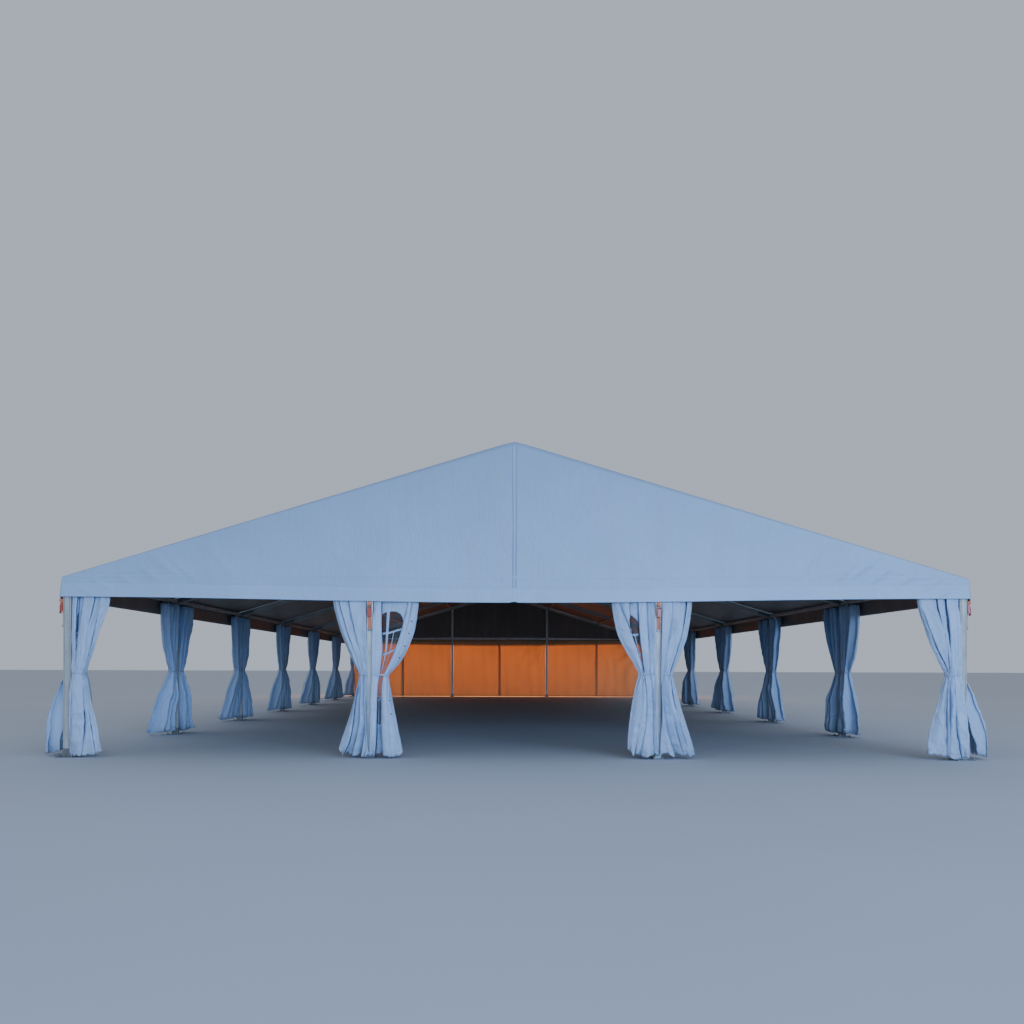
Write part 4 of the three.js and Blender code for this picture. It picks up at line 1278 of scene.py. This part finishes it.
def fold_tables(half, looks):
    """The cloth of a half on an even net of heights and shares of its width.

    It holds how far the cloth lies from the post, out from the wall, and forward from -1 to 1.
    """
    levels = np.linspace(0, 2.96, 97)
    fine = np.linspace(0, 1, 720)
    given = np.array([half.tie if height == TIE_HEIGHT else height for height in LINE_HEIGHTS])[::-1]
    pinch = bell(levels - half.tie, 0.13)

    def at_levels(values):
        plain = np.interp(levels, given, values[::-1])[None, :]
        return smoothed(plain, 7)[0] * (1 - pinch) + smoothed(plain, 2)[0] * pinch

    inner, outer, depth = at_levels(half.inner), at_levels(half.outer), at_levels(np.array(HALF_DEPTHS))
    depth = depth * (1 - 0.15 * bell(levels - half.tie, 0.05))
    lines = [(turn, at_levels(places), at_levels(openness)) for turn, places, openness in half.lines]
    edges = [inner, *(places for _, places, _ in lines), outer]
    for k in range(1, len(edges)):
        edges[k] = np.maximum(edges[k], edges[k - 1] + 0.003)
    course = fold_course(cloth_marks(half, looks), edges, lines, random.Random(half.seed * 31))
    shares, places, forwards = (np.array(column) for column in zip(*course))
    across, forward = (np.array([np.interp(fine, shares, row) for row in table.T])
                       for table in (places, forwards))
    below = np.clip(1 - levels / half.tie, 0, 1)[:, None]
    above = np.clip((levels - half.tie) / (half.top_z - half.tie), 0, 1)[:, None]
    sway = ripples(fine[None, :] * 2.2, levels[:, None] * 0.6, half.seed + 5)
    forward = smoothed(forward, 9) * (1 - 0.5 * below) + smoothed(forward, 22) * 0.5 * below + 0.10 * sway
    across = smoothed(across, 7)
    out = depth[:, None] / 2 * forward * (0.45 + 0.55 * ease((1 - fine) / 0.06))
    out = out * row_fit(across, out, looks.flat_width, 1.15 + 0.75 * ease(below * 1.5))
    # Away from its post the foot of a half swings out, in a curve that is steepest under the tie
    swing = half.hem_shift * (1 - (1 - below) ** 1.25) * (half.swing + (1 - half.swing) * fine)
    out = out + half.top_shift * above + swing
    return SimpleNamespace(levels=levels, shares=fine, across=across, out=out, forward=forward, inner=inner)


def row_fit(across, out, length, limit):
    """How much each row's folds grow or shrink so that the row is as long as the flat cloth."""
    low, high = np.full((len(across), 1), 0.6), limit
    for _ in range(14):
        middle = (low + high) / 2
        run = np.hypot(np.diff(across, axis=1), np.diff(out * middle, axis=1)).sum(axis=1, keepdims=True)
        low, high = np.where(run < length, middle, low), np.where(run < length, high, middle)
    return low


def fold_half(half, looks, tables, s, height, z):
    """Where the cloth lies at given heights: away from the post, and out from the wall."""
    seed, columns = half.seed, s[0]

    def look_up(values):
        by_column = np.array([np.interp(columns, tables.shares, row) for row in values]).T
        return np.stack([np.interp(at, tables.levels, held) for at, held in zip(z.T, by_column)], axis=1)

    u, out = look_up(tables.across), look_up(tables.out)
    below = np.clip(1 - z / half.tie, 0, 1)
    calm = 1
    if half.window:
        left, right = window_span(half, looks)
        over_window = ease((s - left + 0.02) / 0.04) * ease((right + 0.02 - s) / 0.04)
        calm = 1 - 0.8 * over_window * ease((z - 1.5) / 0.3)
    # Small buckles where the tie pinches the cloth, uneven crumples everywhere, and a wavy hem
    crumple = 0.011 * np.exp(-np.abs(z - half.tie) / 0.12) * ripples(s * 20, (z - half.tie) * 2.0, seed + 17)
    crumple += 0.004 * ripples(s * 8, z * 1.3, seed + 23) + 0.02 * below * ripples(s * 1.5, z, seed + 31)
    crumple += (0.010 + 0.012 * below) * crumples(s * 3.0 + z * 0.5, z * 1.6 - s * 1.5, seed + 33)
    crumple += 0.010 * crumples(s * 7.0 - z * 0.8, z * 3.2 + s * 3.0, seed + 35)
    crumple += 0.034 * np.exp(-height / 0.09) * ripples(s * 13, height * 0, seed + 37)
    v = out + crumple * calm + 0.08 * half.lap * ease((2.6 - z) / 0.35) * np.exp(-s / 0.05)
    # Behind the cover's edge the cloth stays inside it
    cap = half.room + 0.4 * ease((VALANCE_BOTTOM - 0.06 - z) / 0.5)
    v = v - 0.012 * np.logaddexp(0, (v - cap) / 0.012)
    # Beside the post the cloth stays off its side, and in front of it the cloth may lap over its face
    over = ease((v - 0.052) / 0.012)
    inner = np.interp(z, tables.levels, tables.inner)
    u = np.maximum(u, half.start + (np.minimum(inner, half.start) - half.start) * over)
    return u, v


def to_ground(half, u, v):
    """X and Y of a place away from the half's post and out from its wall."""
    return tuple(half.origin[axis] + half.along[axis] * u + half.across[axis] * v for axis in (0, 1))


def hang_half(half, looks):
    """The cloth of one half: lapped flat panels from the rail, drawn in at the tie, fuller on the ground."""
    s, height, cloth, window = flat_grid(half, looks)
    tables = fold_tables(half, looks)
    top_z = half.top_z - TRACK_DROP
    behind = np.clip(0.5 - np.interp(s[0], tables.shares, tables.forward[0]) / 2, 0, 1)
    across = np.interp(s[0], tables.shares, tables.across[0])
    across = np.clip((across - across[0]) / (across[-1] - across[0]), 0, 1)
    # The cloth rests on the ground in short scallops with a sharp nick between them
    nicks = 0.040 * crumples(s[0] * 12, 0 * s[0], half.seed * 5 + 1) ** 2 + 0.003
    lift = np.interp(across, HEM_PLACES, half.hem) + 0.05 * behind + nicks
    hem_z = (HEM_CLEARANCE + np.maximum(lift, 0))[None, :]
    z = hem_z + height / CLOTH_HEIGHT * (top_z - hem_z)
    u, v = fold_half(half, looks, tables, s, height, z)
    # Threads that slant towards the tie are as long as upright ones, so their marks sit higher
    smooth_u = half.start + (u - half.start).mean(axis=1, keepdims=True) * 2 * s
    run = np.hypot(np.diff(smooth_u, axis=0), np.diff(z, axis=0))
    along = np.concatenate([np.zeros((1, s.shape[1])), np.cumsum(run, axis=0)])
    along = along / along[-1] * CLOTH_HEIGHT
    z = np.stack([np.interp(height[:, k], along[:, k], z[:, k]) for k in range(s.shape[1])], axis=1)
    u, v = fold_half(half, looks, tables, s, height, z)
    return SimpleNamespace(
        points=np.stack([*to_ground(half, u, v), z], axis=-1), cloth=cloth, window=window,
        flat=np.stack([s * looks.flat_width, height], axis=-1), s=s, height=height, u=u, v=v, z=z)


def grid_normal(points, row, column):
    """The unit normal of a grid of points at one of them."""
    rows, columns = points.shape[:2]
    across = points[row, min(column + 1, columns - 1)] - points[row, max(column - 1, 0)]
    up = points[min(row + 1, rows - 1), column] - points[max(row - 1, 0), column]
    normal = np.cross(across, up)
    return normal / (np.linalg.norm(normal) or 1)


EYELET_PLACE = 0.95
EYELET_HEIGHTS = (0.70, 0.92, 1.66, 1.88, 2.10, 2.32)
HOOKS = 11


def eyelet_spots(half, hung, looks):
    """Eyelets down the outer edge, on the cloth's outer face, apart from where the tie gathers it."""
    column = int(np.argmin(np.abs(hung.s[0] - EYELET_PLACE)))
    spots = []
    for level in EYELET_HEIGHTS:
        row = int(np.argmin(np.abs(hung.height[:, column] - level)))
        normal = grid_normal(hung.points, row, column)
        if normal @ np.array([*half.across, 0]) < 0:
            normal = -normal
        spots.append((hung.points[row, column] + normal * (looks.thickness / 2 + 0.001), normal))
    return spots


def hook_spots(hung):
    """One hook every quarter of a metre of cloth, between its top edge and the rail."""
    columns = [int(round(k / (HOOKS - 1) * (hung.points.shape[1] - 1))) for k in range(HOOKS)]
    return [(hung.points[-1, column] + (0, 0, TRACK_DROP * 0.62), (0, 0, 1)) for column in columns]


def hull(points):
    """The points round the outside of a flat set of points, anticlockwise."""
    ordered = sorted(map(tuple, points))
    chain = []
    for run in (ordered, ordered[::-1]):
        part = []
        for point in run:
            while len(part) > 1 and ((part[-1][0] - part[-2][0]) * (point[1] - part[-2][1])
                                     - (part[-1][1] - part[-2][1]) * (point[0] - part[-2][0])) <= 0:
                part.pop()
            part.append(point)
        chain += part[:-1]
    return np.array(chain)


TAPE_STEPS = 44
# Across the tape's section: how far it stands off the cloth, and its height
TAPE = ((0.0, -0.012), (0.004, -0.011), (0.004, 0.011), (0.0, 0.012))


def add_tie(shape, half, hung):
    """The tape round the waist of a half, drawn tight over its folds, with a knot and two tails."""
    near = np.abs(hung.z - half.tie) < 0.03
    loop = hull(np.stack([hung.u[near], hung.v[near]], axis=-1))
    closed = np.vstack([loop, loop[:1]])
    length = np.concatenate([[0], np.cumsum(np.linalg.norm(np.diff(closed, axis=0), axis=1))])
    marks = np.arange(TAPE_STEPS) / TAPE_STEPS * length[-1]
    ring = np.stack([np.interp(marks, length, closed[:, axis]) for axis in (0, 1)], axis=-1)
    # The tape bends round the corner of the post
    ring[:, 0] = np.where(ring[:, 1] < 0.055, np.maximum(ring[:, 0], half.start - 0.004), ring[:, 0])
    ahead = np.roll(ring, -1, axis=0) - np.roll(ring, 1, axis=0)
    normal = np.stack([ahead[:, 1], -ahead[:, 0]], axis=-1)
    normal /= np.linalg.norm(normal, axis=1, keepdims=True)
    middle_z = half.tie + 0.006 * np.sin(marks / length[-1] * 2 * math.pi + half.seed)
    first = len(shape.points)
    for k in range(TAPE_STEPS):
        for push, lift in TAPE:
            shape.points.append((*to_ground(half, *(ring[k] + normal[k] * push)), middle_z[k] + lift))
    mirrored = half.along[0] * half.across[1] - half.along[1] * half.across[0] < 0
    for k in range(TAPE_STEPS):
        for i in range(4):
            j = (i + 1) % 4
            a, b = first + k * 4, first + (k + 1) % TAPE_STEPS * 4
            face = (a + i, a + j, b + j, b + i)
            shape.face(face if mirrored else face[::-1],
                       [(0.02 * p, 0.02 * q) for p, q in ((k, i), (k, j), (k + 1, j), (k + 1, i))])
    spot = int(np.argmax(ring @ np.array([0.35, 1.0])))
    place = Vector((*to_ground(half, *(ring[spot] + normal[spot] * 0.006)), middle_z[spot]))
    shape.block(place, (0.024, 0.020, 0.026), 0.006)
    for lean in (-1, 1):
        turn = Matrix.Rotation(0.12 * lean, 3, "X") @ Matrix.Rotation(0.2 * lean, 3, "Y")
        shape.block(place + Vector((0.009 * lean, 0, -0.055)), (0.016, 0.004, 0.09), 0.0015, turn)


def make_curtains(looks):
    """Every gathered half with its tie and window film, then all the hooks and the eyelets."""
    eyelets, hooks = [], []
    for facts in (*front_halves(), *side_halves()):
        half = SimpleNamespace(**facts)
        hung = hang_half(half, looks)
        outward = (*half.across, 0)
        cloth = sheet_piece(half.name, hung.points, hung.flat, "translucent_curtain_cloth", looks.thickness,
                            outward, keep=hung.cloth, replaced=[half.node])
        shape = Shape()
        add_tie(shape, half, hung)
        extras = [shape.finish(f"{half.name}_tie", ["translucent_curtain_cloth"])]
        area = looks.flat_width * CLOTH_HEIGHT
        if half.window:
            film = sheet_piece(f"{half.name}_film", hung.points, hung.flat, "clear_window_film", 0.0012,
                               outward, keep=hung.window)
            extras.append(film)
            window_height = WINDOW_BARS[-1] + 0.25 - half.window[2]
            area -= WINDOW_SHARE * looks.flat_width * window_height * 0.8
        hooks.extend(hook_spots(hung))
        if half.eyelets:
            eyelets.extend(eyelet_spots(half, hung, looks))
    place_fittings("curtain_hooks", hooks, curtain_hook_tree(), {}, "black_nylon")
    place_fittings("curtain_eyelets", eyelets, eyelet_tree(), {}, "black_nylon")


REAR_OVERLAP = 0.06
REAR_HEM = HEM_CLEARANCE + 0.004


def make_rear_walls(looks):
    """The rear bays are closed: two halves meet and overlap in the middle of each bay."""
    rail = GABLE_BEAM_BOTTOM - TRACK_DROP
    bays = zip(("left", "middle", "right"), gable_bays(POST_CLEARANCE))
    for number, (word, (low, high)) in enumerate(bays):
        middle = (low + high) / 2
        for part, start, end, layer in (("first", low, middle + REAR_OVERLAP, -1),
                                        ("second", middle - REAR_OVERLAP, high, 1)):
            seed = 200 + number * 2 + layer
            s, height = np.meshgrid(np.linspace(0, 1, 61), np.linspace(0, 1, 37))
            x = start + (end - start) * s
            z = REAR_HEM + (rail - REAR_HEM) * height
            pleats = np.sin(2 * math.pi * x / 0.62 + 1.5 * ripples(x / 1.8, z / 4, seed))
            out = 0.014 * pleats * (0.35 + 0.65 * (1 - height)) + 0.006 * ripples(x / 0.9, z / 1.6, seed + 3)
            # Folds drag down and across from the bay's upper corner
            corner = low if word == "left" else high
            turn, away = np.arctan2(rail - z, np.abs(x - corner)), np.hypot(rail - z, x - corner)
            fan = np.sin(2 * turn) * ease(away / 0.6) * ease((3.4 - away) / 1.8)
            out += 0.026 * fan * np.sin(15 * turn + 0.8 * ripples(away / 1.2, turn, seed + 5))
            pull = np.abs((x - middle) / (high - low)) * 2
            out += 0.006 * np.sin(9 * (x - middle) * layer + 5 * z) * ease(1 - height) * (1 - pull)
            edge = ease((x - start) / 0.08) * ease((end - x) / 0.08)
            y = REAR_Y + layer * 0.006 + out * (0.25 + 0.75 * edge)
            # The rear cloth's cream is a painted warm glow of backlight
            cloth = sheet_piece(f"rear_curtain_{word}_{part}", np.stack([x, y, z], axis=-1),
                                np.stack([x - start, z], axis=-1), "rear_cloth_painted_sunset_glow", looks.thickness,
                                (0, 1, 0), replaced=[f"rear_wall_{word}"])


# Straps

# Heights of a strap's two ends and of its spool, and how much higher those of corner and side posts sit
STRAP_FOOT = 2.13
STRAP_HEAD = 2.84
SPOOL_Z = 2.575
SIDE_STRAP_RISE = 0.05
SPOOL_OUT = 0.044
SPOOL_RADIUS = 0.030
SPOOL_HALF = 0.027
WEBBING_HALF = 0.029
CHEEK_HALF = 0.034


def make_strap(name, place, facing):
    """A strap's webbing, and its ratchet: two cheeks, three axles, a lever with its lip, and a hook."""
    out_x, out_y = facing
    raised = SIDE_STRAP_RISE * abs(out_x)
    frame_turn = Matrix(((-out_y, out_x, 0), (out_x, out_y, 0), (0, 0, 1)))
    face = Vector((*place, 0))
    order = 1 if frame_turn.determinant() > 0 else -1

    def put(across, out, z):
        return face + frame_turn @ Vector((across, out, z + raised))

    def size(across, out, rise):
        return (out, across, rise) if out_x else (across, out, rise)

    webbing = Shape()
    rings = []
    for z in np.linspace(STRAP_FOOT, STRAP_HEAD - raised, 26):
        bulge = 0.004 + 0.014 * bell(z - 2.44, 0.07)
        outline = [(-WEBBING_HALF, bulge), (WEBBING_HALF, bulge), (WEBBING_HALF, bulge + 0.003),
                   (-WEBBING_HALF, bulge + 0.003)]
        rings.append([put(a, b, z) for a, b in outline][::order])
    webbing.rings(rings)
    turns = [2 * math.pi * k / 14 for k in range(14)]
    spool = [(SPOOL_OUT + SPOOL_RADIUS * math.cos(turn), SPOOL_Z + SPOOL_RADIUS * math.sin(turn))
             for turn in turns]
    webbing.rings([[put(across, *spot) for spot in spool] for across in (-SPOOL_HALF, SPOOL_HALF)][::order])
    webbing.finish(f"strap_{name}_webbing", ["polyester_strap_webbing"])
    ratchet = Shape()
    for across in (-CHEEK_HALF, CHEEK_HALF):
        ratchet.block(put(across, 0.030, 2.47), size(0.004, 0.040, 0.15), 0.001)
    for z, radius, out in ((SPOOL_Z, 0.009, SPOOL_OUT), (2.53, 0.007, SPOOL_OUT), (2.41, 0.006, 0.03)):
        ratchet.block(put(0, out, z), size(0.078, radius * 2, radius * 2), radius * 0.45, kind=1)
    ratchet.block(put(0, 0.061, 2.44), size(0.062, 0.008, 0.125), 0.003)
    ratchet.block(put(0, 0.064, 2.372), size(0.068, 0.016, 0.022), 0.005)
    ratchet.block(put(0, 0.014, 2.145), size(0.064, 0.012, 0.034), 0.003, kind=1)
    ratchet.finish(f"strap_{name}_ratchet", ["red_stove_enamel", "zinc_plated_steel"])


def make_ratchet_straps():
    """A ratchet strap at the head of every post, on its outer face, holding the cover down."""
    for word, side in SIDES:
        for frame_number, y in enumerate(FRAME_Y, 1):
            make_strap(f"{word}_{frame_number}", (side * FRAME_REACH, y), (side, 0))
        for end, y, facing in (("front", FRONT_Y, -1), ("rear", REAR_Y, 1)):
            spot = (side * GABLE_UPRIGHT_X, y + facing * PROFILE_WIDTH / 2)
            make_strap(f"{end}_mid_{word}", spot, (0, facing))


# Stage

# The camera's fit to the picture: place, turns, and focal length and principal point in pixels
CAMERA_PLACE = (-0.3567, -29.626, 1.536)
CAMERA_YAW = 0.0052
CAMERA_ROLL = -0.003
FOCAL_PIXELS = 871.9
PICTURE_PIXELS = 1024
PRINCIPAL_POINT = (488.0, 666.6)
SENSOR = 36.0
FLOOR_REACH = 260.0
FLOOR_LEVEL = -0.001


def make_camera():
    """A level camera at standing height in front of the gable, with its picture shifted up and aside."""
    data = bpy.data.cameras.new("photo_view")
    data.sensor_width = SENSOR
    data.lens = FOCAL_PIXELS / PICTURE_PIXELS * SENSOR
    data.shift_x = (PICTURE_PIXELS / 2 - PRINCIPAL_POINT[0]) / PICTURE_PIXELS
    data.shift_y = (PRINCIPAL_POINT[1] - PICTURE_PIXELS / 2) / PICTURE_PIXELS
    data.clip_end = 500
    camera = link_new("photo_view", data)
    axes = Matrix.Rotation(CAMERA_YAW, 3, "Z") @ Matrix.Rotation(CAMERA_ROLL, 3, "Y")
    right, forward, up = axes.col
    turn = Matrix((right, up, -forward)).transposed()
    camera.matrix_world = Matrix.Translation(CAMERA_PLACE) @ turn.to_4x4()
    bpy.context.scene.camera = camera


def add_softbox(name, place, target, size, power, colour):
    """A soft rectangular light, turned to its target, that the camera doesn't see."""
    data = bpy.data.lights.new(name, "AREA")
    data.shape = "RECTANGLE"
    data.size, data.size_y = size
    data.energy = power
    data.color = linear(colour)
    light = link_new(name, data)
    light.location = place
    light.rotation_mode = "QUATERNION"
    light.rotation_quaternion = (Vector(target) - Vector(place)).to_track_quat("-Z", "Y")
    light.visible_camera = False


def make_stage(looks):
    """A plain floor, pale surroundings, light from the front and behind, and the camera."""
    mesh = bpy.data.meshes.new("floor")
    corners = [(FLOOR_REACH * x, FLOOR_REACH * y, FLOOR_LEVEL)
               for x, y in ((-1, -1), (1, -1), (1, 1), (-1, 1))]
    mesh.from_pydata(corners, [], [(0, 1, 2, 3)])
    mesh.materials.append(finish_named("painted_studio_floor"))
    floor = link_new("floor", mesh)
    world = bpy.data.worlds.new("studio")
    world.use_nodes = True
    background = world.node_tree.nodes["Background"]
    background.inputs["Color"].default_value = (*looks.backdrop, 1)
    background.inputs["Strength"].default_value = looks.backdrop_strength
    bpy.context.scene.world = world
    add_softbox("softbox_front", (10, -46, 7.5), (0, -14, 2.0), (28, 13), 11200, "#9FC6FF")
    add_softbox("softbox_rear_wall", (0, 18, 2.6), (0, 15, 1.9), (15, 1.6), 1150, "#FF9C3A")
    make_camera()


class MARQUEE_OT_stage(bpy.types.Operator):
    """Lay the floor, hang the soft light and set the camera"""
    bl_idname = "marquee.stage"
    bl_label = "Stage"
    bl_options = {"REGISTER", "UNDO"}

    def execute(self, context):
        make_stage(context.scene.marquee_stage)
        return {"FINISHED"}


class MARQUEE_OT_frame(bpy.types.Operator):
    """Make the uprights, rafters, gable frames and purlins as grooved extrusions"""
    bl_idname = "marquee.frame"
    bl_label = "Frame"
    bl_options = {"REGISTER", "UNDO"}

    def execute(self, context):
        looks = context.scene.marquee_frame
        make_uprights(looks)
        make_rafters(looks)
        make_gable_frames(looks)
        make_purlins()
        return {"FINISHED"}


class MARQUEE_OT_bolts(bpy.types.Operator):
    """Put the bolts into the joints of the frame"""
    bl_idname = "marquee.bolts"
    bl_label = "Bolts"
    bl_options = {"REGISTER", "UNDO"}

    def execute(self, context):
        looks = context.scene.marquee_frame
        sizes = {"Head radius": looks.bolt_flats}
        place_fittings("frame_bolts", bolt_spots(), hex_bolt_tree(), sizes, "zinc_plated_steel")
        return {"FINISHED"}


class MARQUEE_OT_roof_covers(bpy.types.Operator):
    """Stretch a cloth over each bay of the roof"""
    bl_idname = "marquee.roof_covers"
    bl_label = "Roof covers"
    bl_options = {"REGISTER", "UNDO"}

    def execute(self, context):
        make_roof_covers(context.scene.marquee_covers)
        return {"FINISHED"}


class MARQUEE_OT_gable_covers(bpy.types.Operator):
    """Hang the front and rear gable cloths"""
    bl_idname = "marquee.gable_covers"
    bl_label = "Gable covers"
    bl_options = {"REGISTER", "UNDO"}

    def execute(self, context):
        make_gable_covers(context.scene.marquee_covers)
        return {"FINISHED"}


class MARQUEE_OT_curtains(bpy.types.Operator):
    """Gather the curtains at every post, with their ties, hooks, eyelets and windows"""
    bl_idname = "marquee.curtains"
    bl_label = "Curtains"
    bl_options = {"REGISTER", "UNDO"}

    def execute(self, context):
        make_curtains(context.scene.marquee_curtains)
        return {"FINISHED"}


class MARQUEE_OT_rear_walls(bpy.types.Operator):
    """Draw the rear curtains closed"""
    bl_idname = "marquee.rear_walls"
    bl_label = "Rear walls"
    bl_options = {"REGISTER", "UNDO"}

    def execute(self, context):
        make_rear_walls(context.scene.marquee_curtains)
        return {"FINISHED"}


class MARQUEE_OT_straps(bpy.types.Operator):
    """Put a ratchet strap at the head of every post"""
    bl_idname = "marquee.straps"
    bl_label = "Ratchet straps"
    bl_options = {"REGISTER", "UNDO"}

    def execute(self, context):
        make_ratchet_straps()
        return {"FINISHED"}


OPERATORS = (
    MARQUEE_OT_stage, MARQUEE_OT_frame, MARQUEE_OT_bolts, MARQUEE_OT_roof_covers, MARQUEE_OT_gable_covers,
    MARQUEE_OT_curtains, MARQUEE_OT_rear_walls, MARQUEE_OT_straps,
)
SETTINGS = {
    "marquee_frame": MarqueeFrameSettings,
    "marquee_covers": MarqueeCoverSettings,
    "marquee_curtains": MarqueeCurtainSettings,
    "marquee_stage": MarqueeStageSettings,
}


class MARQUEE_PT_panel(bpy.types.Panel):
    """Lists the settings and the steps of the marquee"""
    bl_idname = "MARQUEE_PT_panel"
    bl_label = "Marquee"
    bl_space_type = "VIEW_3D"
    bl_region_type = "UI"
    bl_category = "Marquee"

    def draw(self, context):
        for operator in OPERATORS:
            self.layout.operator(operator.bl_idname)
        for name, group in SETTINGS.items():
            box = self.layout.box()
            for setting in group.__annotations__:
                box.prop(getattr(context.scene, name), setting)


def register():
    for group in (*SETTINGS.values(), *OPERATORS, MARQUEE_PT_panel):
        bpy.utils.register_class(group)
    for name, group in SETTINGS.items():
        setattr(bpy.types.Scene, name, PointerProperty(type=group))


def unregister():
    for name in SETTINGS:
        delattr(bpy.types.Scene, name)
    for group in reversed((*SETTINGS.values(), *OPERATORS, MARQUEE_PT_panel)):
        bpy.utils.unregister_class(group)


def main():
    register()
    for operator in OPERATORS:
        group, name = operator.bl_idname.split(".")
        getattr(getattr(bpy.ops, group), name)()
    bpy.context.view_layer.update()


if __name__ == "__main__":
    main()
